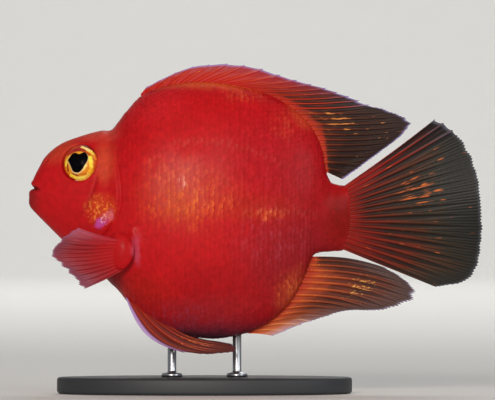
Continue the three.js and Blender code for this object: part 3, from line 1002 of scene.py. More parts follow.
@dataclass(frozen=True)
class PlainFinish(Finish):
    """A finish with one colour and a fine grain.

    Args:
        name: The material, named for what it is.
        colour: Its sRGB hex colour.
        roughness: Its mean roughness.
        grain: Size of the grain in millimetres along X, Y and Z.
        depth: Height of the grain in millimetres.
        sockets: Other sockets of the shader.
        lighter: Brightness of the grain's light parts.
        uneven: How far the roughness strays from its mean.
    """

    name: str
    colour: str
    roughness: float
    grain: Triple
    depth: float
    sockets: tuple[tuple[str, float], ...] = ()
    lighter: float = 1.08
    uneven: float = 0.07

    def fed(self, tree: Tree) -> dict[str, Any]:
        """Builds the grain's nodes.

        Args:
            tree: The node tree.

        Returns:
            What the shader's sockets are fed.
        """
        where = add(tree, "TexCoord").outputs["Object"]
        grain = streaks(tree, where, tuple(1.0 / (size * MM) for size in self.grain), 3.0)
        tint = toned(tree, linear(self.colour)[:3], grain, (2.0 - self.lighter, self.lighter))
        ends = limits(low=self.roughness - self.uneven, high=self.roughness + self.uneven)
        rough = add(tree, "MapRange", {"Value": grain, **ends})
        bump = add(tree, "Bump", {"Strength": 0.5, "Distance": self.depth * MM, "Height": grain})
        return {"Base Color": tint, "Roughness": rough, "Normal": bump, **dict(self.sockets)}


# Clear corneal tissue with a film of water: it hides nothing and only gives the catch light.
CORNEA = PlainFinish(
    "clear_cornea", "#101014", 0.1, (4.0, 4.0, 4.0), 0.001, (("Alpha", 0.06), ("IOR", 1.376))
)
# The open pupil shows the dark inside of the eye.
PUPIL = PlainFinish(
    "pupil_black", "#050406", 0.7, (2.0, 2.0, 2.0), 0.01, (("Specular IOR Level", 0.02),)
)
# The iris's inner rim reflects most, nearly lemon white.
PUPIL_RIM = PlainFinish(
    "iris_rim", "#f2c888", 0.35, (0.8, 0.8, 0.8), 0.05, (("Specular IOR Level", 0.3),)
)
# Powder coat: a baked matt film with a fine orange-peel surface.
POWDER_COAT = PlainFinish(
    "charcoal_powder_coat", "#2a2d31", 0.55, (0.55, 0.55, 0.55), 0.06, lighter=1.16
)
# Drawn steel rod, brushed lengthways: bright with fine upright lines.
BRUSHED_STEEL = PlainFinish(
    "brushed_steel", "#b9bcc1", 0.3, (0.25, 0.25, 9.0), 0.02, (("Metallic", 1.0),), 1.1
)
# Matt pale paint of the studio floor and wall.
STUDIO_PAINT = PlainFinish(
    "studio_paint", "#e4e2de", 0.75, (30.0, 30.0, 30.0), 0.01, lighter=1.01
)


# The skin


@dataclass
class Crease:
    """A fold or lip that follows a curve on both sides of the skin.

    Args:
        path: Points of the curve, with y as the distance from the middle plane.
        height: Rise of the skin on the curve; a groove is negative.
        width: Distance over which the rise fades.
    """

    path: Rows
    height: float
    width: float

    def __post_init__(self) -> None:
        """Samples the curve once, with the box outside which the rise has faded."""
        self.samples = dense(self.path, 40)
        faded = 3.0 * self.width
        self.low, self.high = self.samples.min(0) - faded, self.samples.max(0) + faded

    def relief(self, point: Vector) -> float:
        """Finds the rise of the skin.

        Args:
            point: A point of the plain body, with y as the distance from the middle plane.

        Returns:
            The rise there.
        """
        place = np.array(point)
        if np.any(place < self.low) or np.any(place > self.high):
            return 0.0
        nearest = math.sqrt(float(((self.samples - place) ** 2).sum(1).min()))
        return self.height * bell(nearest, self.width)


@dataclass
class Mouth:
    """The lips and the slit between them, as heights in the side view.

    Args:
        line: x and z along the slit from the front.
        slit: Its depth and half width.
        gape: x where the slit is widest, over what length, and how much wider it is there.
        upper: Rise of the upper lip, its height over the slit and its half width.
        lower: The same for the lower lip, below the slit.
        corner: x where the mouth starts to fade and where it has ended.
    """

    line: Rows = ((0.0, 12.3), (3.0, 12.0), (6.6, 10.9))
    slit: Pair = (1.15, 0.45)
    gape: Triple = (2.6, 1.5, 0.6)
    upper: Triple = (0.55, 1.9, 1.1)
    lower: Triple = (0.5, 2.1, 1.3)
    corner: Pair = (3.0, 6.0)

    def relief(self, x: float, z: float) -> float:
        """Finds the rise of the skin.

        Args:
            x: Place along the fish in the side view.
            z: Height in the side view.

        Returns:
            The rise there.
        """
        if x >= self.corner[1]:
            return 0.0
        over = z - between(self.line, x)
        middle, length, wider = self.gape
        depth, wide = self.slit
        rise = -depth * bell(over, wide * (1.0 + wider * bell(x - middle, length)))
        for (high, away, soft), way in ((self.upper, 1.0), (self.lower, -1.0)):
            rise += high * bell(over - way * away, soft)
        return rise * (1.0 - smooth(*self.corner, x))


@dataclass
class Skin:
    """The whole flesh of the fish as one closed skin, with its folds.

    Args:
        frame: The fish's frame.
        eye: Where the eyes sit.
        gill: The gill cover.
        mouth: The mouth.
        stations: Top x and z, bottom x and z, half width, and height of the widest point.
        fullness: Below 1 the flanks are fuller than an ellipse.
        sides: Facets round the body.
        spacings: Distance of the rings on the mouth, on the rest of the head and on the trunk.
        parts: x where the mouth's rings and the head's rings end.
        reach: The first and the last place for a ring along the body.
        coat: Depth at which the skin lies under the solids' surface, to make room for scales.
        deep: Depth at which a fold is in full shade.
        folded: x where the fine folds of the head have ended.
        eye_end: x where the eye's and the nostril's relief has ended.
        nostril: The nostril's middle, with y as the distance from the middle plane.
        swelling: x, z, half length, half height and rise of the breast fin's shoulder.
        creases: Folds of the cheek, the jaw, the gill cover and the breast fin's root.
    """

    frame: FishFrame
    eye: EyeSeat
    gill: GillEdge = field(default_factory=GillEdge)
    mouth: Mouth = field(default_factory=Mouth)
    stations: Rows = (
        (1.3, 10.3, 1.3, 10.3, 0.0, 0.5),
        (2.0, 12.8, 0.7, 7.8, 1.8, 0.5),
        (2.7, 16.2, 1.0, 4.8, 3.8, 0.5),
        (4.8, 20.4, 3.8, 1.4, 5.9, 0.5),
        (7.6, 25.0, 8.6, -3.4, 8.0, 0.5),
        (13.4, 29.7, 13.8, -8.6, 10.4, 0.49),
        (21.2, 32.8, 20.8, -15.2, 13.0, 0.48),
        (29.2, 35.0, 28.0, -20.8, 15.4, 0.47),
        (33.5, 35.3, 32.0, -24.6, 16.6, 0.46),
        (36.2, 38.2, 34.2, -26.8, 17.6, 0.46),
        (39.6, 42.6, 36.8, -29.4, 18.8, 0.46),
        (46.6, 49.4, 43.4, -37.0, 20.8, 0.45),
        (57.0, 53.2, 55.4, -45.2, 22.2, 0.45),
        (70.6, 54.4, 70.4, -48.2, 22.6, 0.45),
        (84.0, 53.0, 82.8, -47.4, 21.6, 0.46),
        (96.0, 49.4, 94.0, -43.6, 18.8, 0.48),
        (105.8, 44.2, 102.8, -36.4, 15.2, 0.49),
        (113.2, 37.2, 108.8, -27.6, 11.8, 0.5),
        (117.6, 29.2, 112.2, -20.0, 9.2, 0.5),
        (119.4, 20.8, 114.2, -15.4, 7.8, 0.5),
        (121.4, 15.0, 117.2, -13.8, 6.5, 0.5),
        (124.6, 13.4, 121.2, -13.4, 4.9, 0.5),
        (128.0, 12.6, 126.2, -12.6, 2.7, 0.5),
        (129.8, 9.6, 128.8, -9.6, 1.1, 0.5),
    )
    fullness: float = 0.88
    sides: int = 240
    spacings: Triple = (0.24, 0.38, 0.85)
    parts: Pair = (7.0, 42.0)
    reach: Pair = (0.004, 0.998)
    coat: float = 0.12
    deep: float = 1.2
    folded: float = 50.0
    eye_end: float = 36.0
    nostril: Triple = (8.4, 4.9, 22.8)
    swelling: tuple[float, float, float, float, float] = (37.6, -13.2, 7.4, 9.0, 1.6)
    creases: tuple[Crease, ...] = (
        Crease(((5.0, 5.3, 11.4), (5.7, 5.8, 10.2), (6.0, 5.8, 8.6)), -0.4, 0.6),
        Crease(((8.6, 6.4, 16.0), (9.4, 7.3, 11.0), (9.0, 6.6, 5.6)), -0.22, 0.9),
        Crease(
            ((28.4, 14.0, 16.0), (26.0, 14.6, 9.0), (22.4, 13.8, 2.6), (16.8, 11.4, -2.6)), -0.32, 0.8
        ),
        Crease(
            ((42.6, 19.6, -5.2), (44.8, 20.4, -9.8), (44.8, 20.0, -15.0), (42.8, 18.8, -20.0)), 0.8, 1.2
        ),
    )

    def section(self, t: float, turn: float) -> Vector:
        """Finds a point of the plain body.

        Args:
            t: The place along the body, from 0 at the snout to 1 at the tail's root.
            turn: The angle round it, 0 at the back and pi at the belly.

        Returns:
            The point in the fish's frame.
        """
        top_x, top_z, low_x, low_z, half, widest = spline(self.stations, t)
        up, out = math.cos(turn), math.sin(turn)
        share = mix(widest, 1.0, up) if up > 0.0 else widest * (1.0 + up)
        wide = math.copysign(abs(out) ** self.fullness, out)
        return Vector((mix(low_x, top_x, share), half * wide, mix(low_z, top_z, share)))

    def facing(self, t: float, turn: float) -> Vector:
        """Finds the way out of the plain body.

        Args:
            t: The place along the body.
            turn: The angle round it.

        Returns:
            The unit vector.
        """
        step, swing = 0.004, 0.04
        ahead, behind = min(t + step, 1.0), max(t - step, 0.0)
        lengthways = self.section(ahead, turn) - self.section(behind, turn)
        round_it = self.section(t, turn + swing) - self.section(t, turn - swing)
        return lengthways.cross(round_it).normalized()

    def folds(self, point: Vector) -> float:
        """Finds the height of the fine folds of the head.

        Args:
            point: A point of the plain body.

        Returns:
            The height there, negative in a groove.
        """
        if point.x > self.folded:
            return 0.0
        rise = self.mouth.relief(point.x, point.z)
        away = beside(point)
        rise += sum(crease.relief(away) for crease in self.creases)
        if point.x < self.eye_end:
            # A low ring runs round the eye, and a rim round the nostril's pit.
            ring_high, ring_place, ring_wide = 0.2, 1.11, 0.09
            rim_high, rim_place, rim_wide, pit_deep, pit_wide = 0.35, 1.1, 0.45, 1.1, 0.6
            nostril = (away - Vector(self.nostril)).length
            rise += ring_high * bell(self.eye.ring(point) - ring_place, ring_wide)
            rise += rim_high * bell(nostril - rim_place, rim_wide) - pit_deep * bell(nostril, pit_wide)
        return rise

    def relief(self, point: Vector) -> float:
        """Finds the height of the whole relief.

        Args:
            point: A point of the plain body.

        Returns:
            The height there.
        """
        rise = self.gill.relief(point.x, point.z) - self.coat + self.folds(point)
        x, z, long, tall, high = self.swelling
        rise += high * bell(math.hypot((point.x - x) / long, (point.z - z) / tall), 1.0) ** 1.5
        # The trunk has broad, shallow swells about 20 mm across, which start behind the head.
        deep, count, start, full = 0.3, 0.055, 30.0, 60.0
        swell = deep * noise.noise(beside(point) * count)
        return rise + swell * smooth(start, full, point.x)

    def surface(self, t: float, turn: float) -> Vector:
        """Finds a point of the finished skin.

        Args:
            t: The place along the body.
            turn: The angle round it.

        Returns:
            The point, sunk to the socket's floor under an eye.
        """
        plain = self.section(t, turn)
        point = plain + self.facing(t, turn) * self.relief(plain)
        if plain.x < self.eye_end:
            floor, floor_end, wall = 0.3, 0.93, 1.05
            out = self.eye.local(point)[2]
            sunk = 1.0 - smooth(floor_end, wall, self.eye.ring(point))
            if sunk > 0.0 and out > 0.0:
                sight = self.eye.sight
                sight = Vector((sight.x, math.copysign(sight.y, plain.y), sight.z))
                point += sight * (floor - out) * sunk
        return point

    def rings(self) -> list[float]:
        """Places the rings, closer on the head and closest on the mouth.

        Returns:
            Their places along the body.
        """
        turns, step = (0.0, TURN / 4.0, TURN / 2.0), 0.0005
        placed, t = [], self.reach[0]
        previous = [self.section(t, turn) for turn in turns]
        while t < self.reach[1]:
            now = [self.section(t, turn) for turn in turns]
            part = sum(now[1].x > end for end in self.parts)
            gap = max((a - b).length for a, b in zip(now, previous))
            if not placed or gap >= self.spacings[part]:
                placed.append(t)
                previous = now
            t += step
        return placed

    def build(self) -> bpy.types.Object:
        """Makes the skin.

        Returns:
            The skin's object, which replaces the solids of the head, torso and tail stalk.
        """
        rings = self.rings()
        last = len(rings) + 1
        bm = bmesh.new()
        bmesh.ops.create_uvsphere(bm, u_segments=self.sides, v_segments=last, radius=1.0)
        fold = bm.verts.layers.float.new("fold")
        for vert in bm.verts:
            ring = round(math.acos(min(max(vert.co.z, -1.0), 1.0)) / math.pi * last)
            turn = math.atan2(vert.co.y, vert.co.x)
            if ring == 0:
                vert.co = (self.surface(rings[0], 0.0) + self.surface(rings[0], TURN / 2.0)) / 2.0
            elif ring == last:
                vert.co = self.section(1.0, TURN / 4.0)
                vert.co.y = 0.0
            else:
                plain = self.section(rings[ring - 1], turn)
                # Painted shade: a groove's depth, as a share of deep, sets how dark its skin is
                # painted.
                vert[fold] = max(-self.folds(plain) / self.deep, 0.0)
                vert.co = self.surface(rings[ring - 1], turn)
        skin = to_piece(bm, "skin", self.frame.matrix)
        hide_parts("head", "torso", "tail_stalk")
        return skin


# The scales


class Root(NamedTuple):
    """Where one scale roots.

    Args:
        point: Its point on the skin.
        out: The way out of the skin.
        back: The way to the tail.
        size: The spacing of the scales there.
        x: Its column's place along the fish.
        arc: Its distance from the middle row round the skin.
    """

    point: Vector
    out: Vector
    back: Vector
    size: float
    x: float
    arc: float


@dataclass
class ScaleCoat:
    """Overlapping scales on one flank, in rows that close up towards the tail.

    Args:
        skin: The skin that they root in.
        body: Its object.
        side: The flank.
        lengths: x and scale spacing at places along the fish.
        columns: x of the first column of scales, and where the last has ended.
        pitch: Distance between columns as a share of the spacing.
        overlap: A scale's length as a share of the spacing.
        broad: Its width as a share of the spacing.
        bow: How far its rear rim bows.
        clear: Distance from the gill cover's edge to the first scales' roots.
        stray: How far a scale strays along the fish as a share of the spacing.
        pored: x, z and strength along the front part of the lateral line.
        pored_rear: The same for its rear part.
        pored_half: Half height of the line.
        bare: Middle and half sizes of the scaleless fold round the breast fin's root.
    """

    skin: Skin
    body: bpy.types.Object
    side: Side
    lengths: Rows = ((30.0, 1.8), (44.0, 2.25), (90.0, 2.35), (112.0, 1.9), (130.0, 1.3))
    columns: Pair = (24.0, 128.0)
    pitch: float = 0.84
    overlap: float = 1.75
    broad: float = 1.25
    bow: float = 0.14
    clear: float = 2.2
    stray: float = 0.2
    pored: Rows = (
        (46.0, 22.0, 0.5),
        (57.2, 29.6, 1.0),
        (66.0, 31.0, 1.0),
        (76.0, 30.4, 0.8),
        (90.0, 26.8, 0.45),
        (104.0, 20.6, 0.2),
    )
    pored_rear: Rows = ((84.0, 3.6, 0.6), (98.0, 3.4, 0.8), (112.0, 2.0, 0.5), (118.0, 1.4, 0.3))
    pored_half: float = 1.2
    bare: tuple[float, float, float, float] = (38.0, -12.4, 9.2, 11.0)

    def middle(self, x: float) -> float:
        """Height of the middle row, which comes down from the head to the tail."""
        front, rear, start, end = 8.5, 0.5, 20.0, 125.0
        return mix(front, rear, smooth(start, end, x))

    def template(self) -> tuple[np.ndarray, list[list[int]]]:
        """Makes one scale of unit size: width along x, towards the tail along y, out along z.

        Returns:
            Its vertices, with a fourth number that is 1 on the rear rim, and its faces.
        """
        bm = bmesh.new()
        bmesh.ops.create_grid(bm, x_segments=4, y_segments=3, size=0.5)
        waist, low, slope, dome, thick = 0.74, -0.026, 0.062, 0.014, 0.04
        for vert in bm.verts:
            across, back = 2.0 * vert.co.x, 1.0 - (0.5 - vert.co.y) ** 1.8
            full = math.sin(math.pi * min(back * 0.75, 0.5))
            vert.co.x = 0.5 * across * mix(waist, 1.0, full)
            vert.co.y = back - self.bow * across * across * back
            vert.co.z = low + slope * back + dome * (1.0 - across * across)
        sheet = list(bm.faces)
        upper = set(new_verts(bmesh.ops.extrude_face_region(bm, geom=sheet)))
        under = [vert for vert in bm.verts if vert not in upper]
        bmesh.ops.translate(bm, vec=(0.0, 0.0, -thick), verts=under)
        bmesh.ops.dissolve_faces(bm, faces=sheet, use_verts=False)
        bmesh.ops.recalc_face_normals(bm, faces=bm.faces)
        bm.verts.index_update()
        # The rim's painted highlight covers the last part of the scale, and less of its corners.
        lit, corner_loss = 0.7, 0.65
        points = []
        for vert in bm.verts:
            x, y, z = vert.co
            rim = smooth(lit, 1.0, y + self.bow * (2.0 * x) ** 2)
            points.append((x, y, z, rim * (1.0 - corner_loss * smooth(0.2, 0.5, abs(x)))))
        faces = [[vert.index for vert in face.verts] for face in bm.faces]
        bm.free()
        return np.array(points), faces

    def on_line(self, point: Vector) -> float:
        """Finds how near a scale is to the lateral line.

        Args:
            point: Where it roots.

        Returns:
            The line's strength on it, and 0 a scale away.
        """
        best = 0.0
        for line in (self.pored, self.pored_rear):
            if line[0][0] <= point.x <= line[-1][0]:
                aside = point.z - between(line, point.x)
                best = max(best, between(line, point.x, 2) * bell(aside, self.pored_half))
        return best

    def allowed(self, point: Vector) -> bool:
        """Says whether a scale may root at a point.

        Args:
            point: The point of the skin.

        Returns:
            Whether it is behind the gill cover and clear of the breast fin's root.
        """
        x, z, long, tall = self.bare
        if math.hypot((point.x - x) / long, (point.z - z) / tall) < 1.0:
            return False
        return point.x > self.skin.gill.x_at(point.z) + self.clear

    def roots(self) -> list[Root]:
        """Finds where the flank's scales root, column by column.

        Returns:
            The roots.
        """
        inverse = self.skin.frame.matrix.inverted()
        points = [inverse @ v.co for v in self.body.data.vertices]
        tree = BVHTree.FromPolygons(points, [list(p.vertices) for p in self.body.data.polygons])
        found = []
        x, shift = self.columns[0], 0.0
        while x < self.columns[1]:
            size = between(self.lengths, x)
            for up in (1.0, -1.0):
                found += self._column(tree, x, size, up, shift)
            x += self.pitch * size
            shift = 0.5 - shift
        return found

    def _column(self, tree: BVHTree, x: float, size: float, up: float, shift: float) -> list[Root]:
        """Finds the roots of one column, on one side of the middle row.

        Args:
            tree: The skin in the fish's frame.
            x: The column's place along the fish.
            size: The spacing of its scales.
            up: 1 for the part above the middle row, -1 for the part below it.
            shift: How far the column is shifted up, in spacings.

        Returns:
            The roots.
        """
        start_y, step, crest = 60.0, 0.2, 0.2
        way = Vector((0.0, -self.side.value, 0.0))
        found = []
        z, arc, last = self.middle(x), 0.0, None
        row = shift if up > 0.0 else 1.0 - shift
        while True:
            hit, normal, _, _ = tree.ray_cast(Vector((x, start_y * self.side.value, z)), way)
            if hit is None or hit.y * self.side.value < crest:
                return found
            if last is not None:
                arc += (hit - last).length
            last = hit
            if arc >= row * size:
                if not (up < 0.0 and row == 0.0) and self.allowed(hit):
                    slope = up * row * (between(self.lengths, x + 1.0) - size)
                    slope = slope + self.middle(x + 1.0) - self.middle(x)
                    found.append(Root(hit, normal, Vector((1.0, 0.0, slope)), size, x, up * arc))
                row += 1.0
            z += up * step

    def build(self) -> bpy.types.Object:
        """Makes the flank's scales as one mesh.

        Returns:
            The coat's object.
        """
        draw = random.Random(SEED + self.side.value)
        shape, faces = self.template()
        twist, least_size, most_size, least_rise, most_rise = 0.09, 0.94, 1.06, 0.8, 1.2
        flat, flat_end, full = 0.55, 34.0, 48.0
        # Each flank has its half of the unwrap, with a narrow margin.
        half, margin = (0.0 if self.side is Side.LEFT else 0.5), 0.01
        across_mm, up_mm, patch = 275.0, 280.0, 0.003
        places, polygons, patches = [], [], []
        carried = {"rim": [], "tone": [], "pore": []}
        for root in self.roots():
            back = (root.back - root.out * root.back.dot(root.out)).normalized()
            back = Matrix.Rotation(draw.uniform(-twist, twist), 3, root.out) @ back
            grown = root.size * draw.uniform(least_size, most_size)
            # The scales behind the gill cover lie flatter.
            high = grown * mix(flat, 1.0, smooth(flat_end, full, root.point.x))
            high *= draw.uniform(least_rise, most_rise)
            across = back.cross(root.out) * grown * self.broad
            basis = np.array((across, back * grown * self.overlap, root.out * high))
            stray = draw.uniform(-self.stray, self.stray) - 0.5
            first = len(places) * len(shape)
            places.append(shape[:, :3] @ basis + np.array(root.point + back * stray * grown))
            polygons += [[first + i for i in face] for face in faces]
            carried["rim"].append(shape[:, 3])
            carried["tone"].append(np.full(len(shape), draw.random()))
            carried["pore"].append(np.full(len(shape), self.on_line(root.point)))
            middle = np.array((half + margin + root.x / across_mm, 0.5 + root.arc / up_mm))
            patches.append(middle + patch * (shape[:, :2] - np.array((0.0, 0.5))))
        world = np.array(self.skin.frame.matrix)
        points = np.concatenate(places) @ world[:3, :3].T + world[:3, 3]
        mesh = bpy.data.meshes.new("scales_" + self.side.word)
        mesh.from_pydata(points.tolist(), [], polygons)
        # The rims stay crisp, so that their steep sides don't darken the faces beside them.
        steep = math.radians(50.0)
        mesh.set_sharp_from_angle(angle=steep)
        for name, values in carried.items():
            numbers = np.concatenate(values).astype(np.float32)
            mesh.attributes.new(name, "FLOAT", "POINT").data.foreach_set("value", numbers)
        corners = np.empty(len(mesh.loops), dtype=np.int32)
        mesh.loops.foreach_get("vertex_index", corners)
        layer = mesh.uv_layers.new(name="OFBake")
        layer.data.foreach_set("uv", np.concatenate(patches)[corners].astype(np.float32).ravel())
        coat = show(mesh)
        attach(coat, ROOT)
        LOG.info("%s: %d scales", mesh.name, len(places))
        return coat


# The fins


@dataclass
class Fin:
    """A fin: a thin membrane with its rays raised on both faces.

    Args:
        frame: The fish's frame.
        name: The piece's name.
        node: The solid it replaces.
        keys: Key rays as root, tip and bow, clockwise round the fish as seen from its left.
        membrane: Its finish, which holds the number of rays.
        spines: Range of u where the rays are hard and unforked.
        across: Columns of faces between two rays.
        rows: Rows of faces along a ray.
        sink: How deep the root lies in the body.
        thick: Half thickness of the membrane at the root and at the edge.
        ridge: Rise of a ray at the root and at the tip.
        width: Half width of a ray in ray spacings, at the root and at the tip.
        notch: How far the membrane stays behind the ray tips, on soft rays and on spines.
        pale: Breadth of the pale margin on soft rays and on spines.
        wave: Sideways wave of the fin, and the number of waves.
        forks: Where soft rays fork for the first and for the second time.
        side: The fish's side for a side fin.
    """

    frame: FishFrame
    name: str
    node: str
    keys: Rows
    membrane: FinMembrane
    spines: Pair = (2.0, 2.0)
    across: int = 12
    rows: int = 56
    sink: float = 2.4
    thick: Pair = (0.75, 0.1)
    ridge: Pair = (0.42, 0.14)
    width: Pair = (0.24, 0.075)
    notch: Pair = (0.03, 0.05)
    pale: Pair = (1.0, 1.7)
    wave: Pair = (0.0, 0.0)
    forks: Pair = (0.2, 0.5)
    side: Side = Side.LEFT

    @property
    def rays(self) -> int:
        """Number of rays."""
        return self.membrane.rays

    def ends(self, u: float) -> tuple[Vector, Vector, float]:
        """Finds a ray. The keys of a middle fin leave out y.

        Args:
            u: Place along the fin.

        Returns:
            The ray's root, its tip and its bow.
        """
        row = spline(self.keys, u)
        if len(row) == 5:
            return Vector((row[0], 0.0, row[1])), Vector((row[2], 0.0, row[3])), row[4]
        return Vector(row[:3]), Vector(row[3:6]), row[6]

    def hard(self, u: float) -> bool:
        """Whether the rays at u are spines."""
        return self.spines[0] <= u <= self.spines[1]

    def middle(self, u: float, v: float) -> Vector:
        """Finds a point of the fin's middle sheet.

        Args:
            u: Place along the fin.
            v: Place outwards, 0 at the root and 1 at a ray's tip.

        Returns:
            The point.
        """
        root, tip, bow = self.ends(u)
        span = tip - root
        arch = bow * math.sin(math.pi * v)
        point = root + span * v
        point.x -= span.z * arch
        point.z += span.x * arch
        size, count = self.wave
        point.y += size * math.sin(TURN * count * u) * v * v
        return point

    def facing(self, u: float, v: float) -> Vector:
        """Finds the way square to the sheet, on the side of +Y.

        Args:
            u: Place along the fin.
            v: Place outwards.

        Returns:
            The unit vector.
        """
        step = 0.02
        w = min(max(v, 2.0 * step), 1.0 - step)
        across = self.middle(min(u + step, 1.0), w) - self.middle(max(u - step, 0.0), w)
        outward = self.middle(u, w + step) - self.middle(u, w - step)
        made = across.cross(outward).normalized()
        return -made if made.y < 0.0 else made

    def root_down(self, u: float) -> Vector:
        """Finds the way down into the body.

        Args:
            u: Place along the fin.

        Returns:
            The unit vector square to the root line.
        """
        ahead, behind = self.ends(max(u - 0.01, 0.0))[0], self.ends(min(u + 0.01, 1.0))[0]
        slope = (behind - ahead).normalized()
        return Vector((slope.z, 0.0, -slope.x))

    def branches(self, index: int, v: float) -> list[float]:
        """Finds the branches of a ray.

        Args:
            index: The ray's number.
            v: Place outwards.

        Returns:
            How far each runs beside the ray's axis, in ray spacings.
        """
        if self.hard(index / (self.rays - 1)):
            return [0.0]
        # No two neighbours fork at the same place.
        jitter = 0.06 * math.sin(2.3 * index)
        halves, quarters = 0.25, 0.125
        once = halves * smooth(self.forks[0] + jitter, 1.0, v)
        twice = quarters * smooth(self.forks[1] + jitter, 1.0, v)
        return [once - twice, once + twice, -once - twice, -once + twice]

    def ray_at(self, u: float, v: float) -> float:
        """Finds how much of a ray there is at a point.

        Args:
            u: Place along the fin.
            v: Place outwards.

        Returns:
            1 on a ray's axis, 0 on the membrane.
        """
        place = u * (self.rays - 1)
        width = mix(*self.width, v)
        best = 0.0
        for index in (math.floor(place), math.floor(place) + 1):
            if 0 <= index < self.rays:
                for offset in self.branches(index, v):
                    best = max(best, bell(place - index - offset, width))
        return best

    def edge(self, u: float) -> float:
        """Finds how far out the fin's edge is.

        Args:
            u: Place along the fin.

        Returns:
            Its place as a share of the ray's length.
        """
        depth = self.notch[self.hard(u)]
        fray = self.notch[0] * noise.noise(Vector((u * self.rays * 1.3, 0.0, 4.0)))
        return 1.0 - depth * (1.0 - self.ray_at(u, 1.0)) + fray

    def build(self) -> bpy.types.Object:
        """Makes the fin.

        Returns:
            The fin's object, which replaces its solid.
        """
        columns = (self.rays - 1) * self.across
        edges = {}
        bm = bmesh.new()
        bmesh.ops.create_grid(bm, x_segments=columns, y_segments=self.rows, size=0.5)
        names = ("u", "v", "ray", "margin", "spine")
        at_u, at_v, at_ray, at_margin, at_spine = (bm.verts.layers.float.new(n) for n in names)
        for vert in bm.verts:
            u, v = vert.co.x + 0.5, vert.co.y + 0.5
            root, tip, _ = self.ends(u)
            broad = self.pale[self.hard(u)] / (tip - root).length
            column = round(u * columns)
            if column not in edges:
                edges[column] = self.edge(u)
            vert[at_u], vert[at_v] = u, v
            vert[at_ray] = self.ray_at(u, v)
            vert[at_margin] = smooth(1.0 - broad, 1.0 - 0.3 * broad, v)
            vert[at_spine] = float(self.hard(u))
            vert.co = self.middle(u, v * edges[column])
            if v < 0.5 / self.rows and self.sink:
                vert.co += self.root_down(u) * self.sink
        high = set(new_verts(bmesh.ops.extrude_face_region(bm, geom=list(bm.faces))))
        thinning, segments, band_high = 1.7, 26.0, 0.18
        for vert in bm.verts:
            u, v = vert[at_u], vert[at_v]
            body = mix(*self.thick, min(1.0, thinning * v))
            band = 1.0
            if not self.hard(u):
                band += band_high * math.sin(TURN * segments * v) * smooth(0.25, 0.5, v)
            body += vert[at_ray] * mix(*self.ridge, v) * band
            way = 1.0 if vert in high else -1.0
            vert.co += self.facing(u, v * edges[round(u * columns)]) * way * body
        layer = bm.loops.layers.uv.new("Span")
        for face in bm.faces:
            for loop in face.loops:
                loop[layer].uv = (loop.vert[at_u], loop.vert[at_v])
        fin = to_piece(bm, self.name, self.frame.matrix, self.side is Side.RIGHT)
        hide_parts(self.node)
        return fin


@dataclass
class BreastLobe:
    """The fleshy root of a breast fin, half sunk in the flank.

    Args:
        frame: The fish's frame.
        side: The flank.
        centre: Its middle, with y as the distance from the middle plane.
        radii: Its half sizes along the fish, outwards and upwards.
        turn: Degrees that its front swings outwards.
    """

    frame: FishFrame
    side: Side
    centre: Triple = (36.8, 20.0, -13.2)
    radii: Triple = (6.6, 3.5, 7.6)
    turn: float = -20.0

    def build(self) -> bpy.types.Object:
        """Makes the lobe: an egg that narrows towards the fin.

        Returns:
            The lobe's object.
        """
        bm = bmesh.new()
        bmesh.ops.create_uvsphere(bm, u_segments=40, v_segments=24, radius=1.0)
        narrower, flatter, fold, folds = 0.25, 0.1, 0.04, 2.2
        for vert in bm.verts:
            forward = smooth(0.3, -1.0, vert.co.x)
            vert.co.y *= 1.0 - narrower * forward
            vert.co.z *= 1.0 - flatter * forward
            vert.co *= 1.0 + fold * noise.noise(vert.co * folds)
        bmesh.ops.scale(bm, vec=self.radii, verts=bm.verts)
        swing = Matrix.Rotation(math.radians(self.turn), 4, "Z")
        bmesh.ops.transform(bm, matrix=swing, verts=bm.verts)
        x, y, z = self.centre
        bmesh.ops.translate(bm, vec=(x, -y, z), verts=bm.verts)
        name = "breast_lobe_" + self.side.word
        lobe = to_piece(bm, name, self.frame.matrix, self.side is Side.RIGHT)
        return lobe


# The eyes


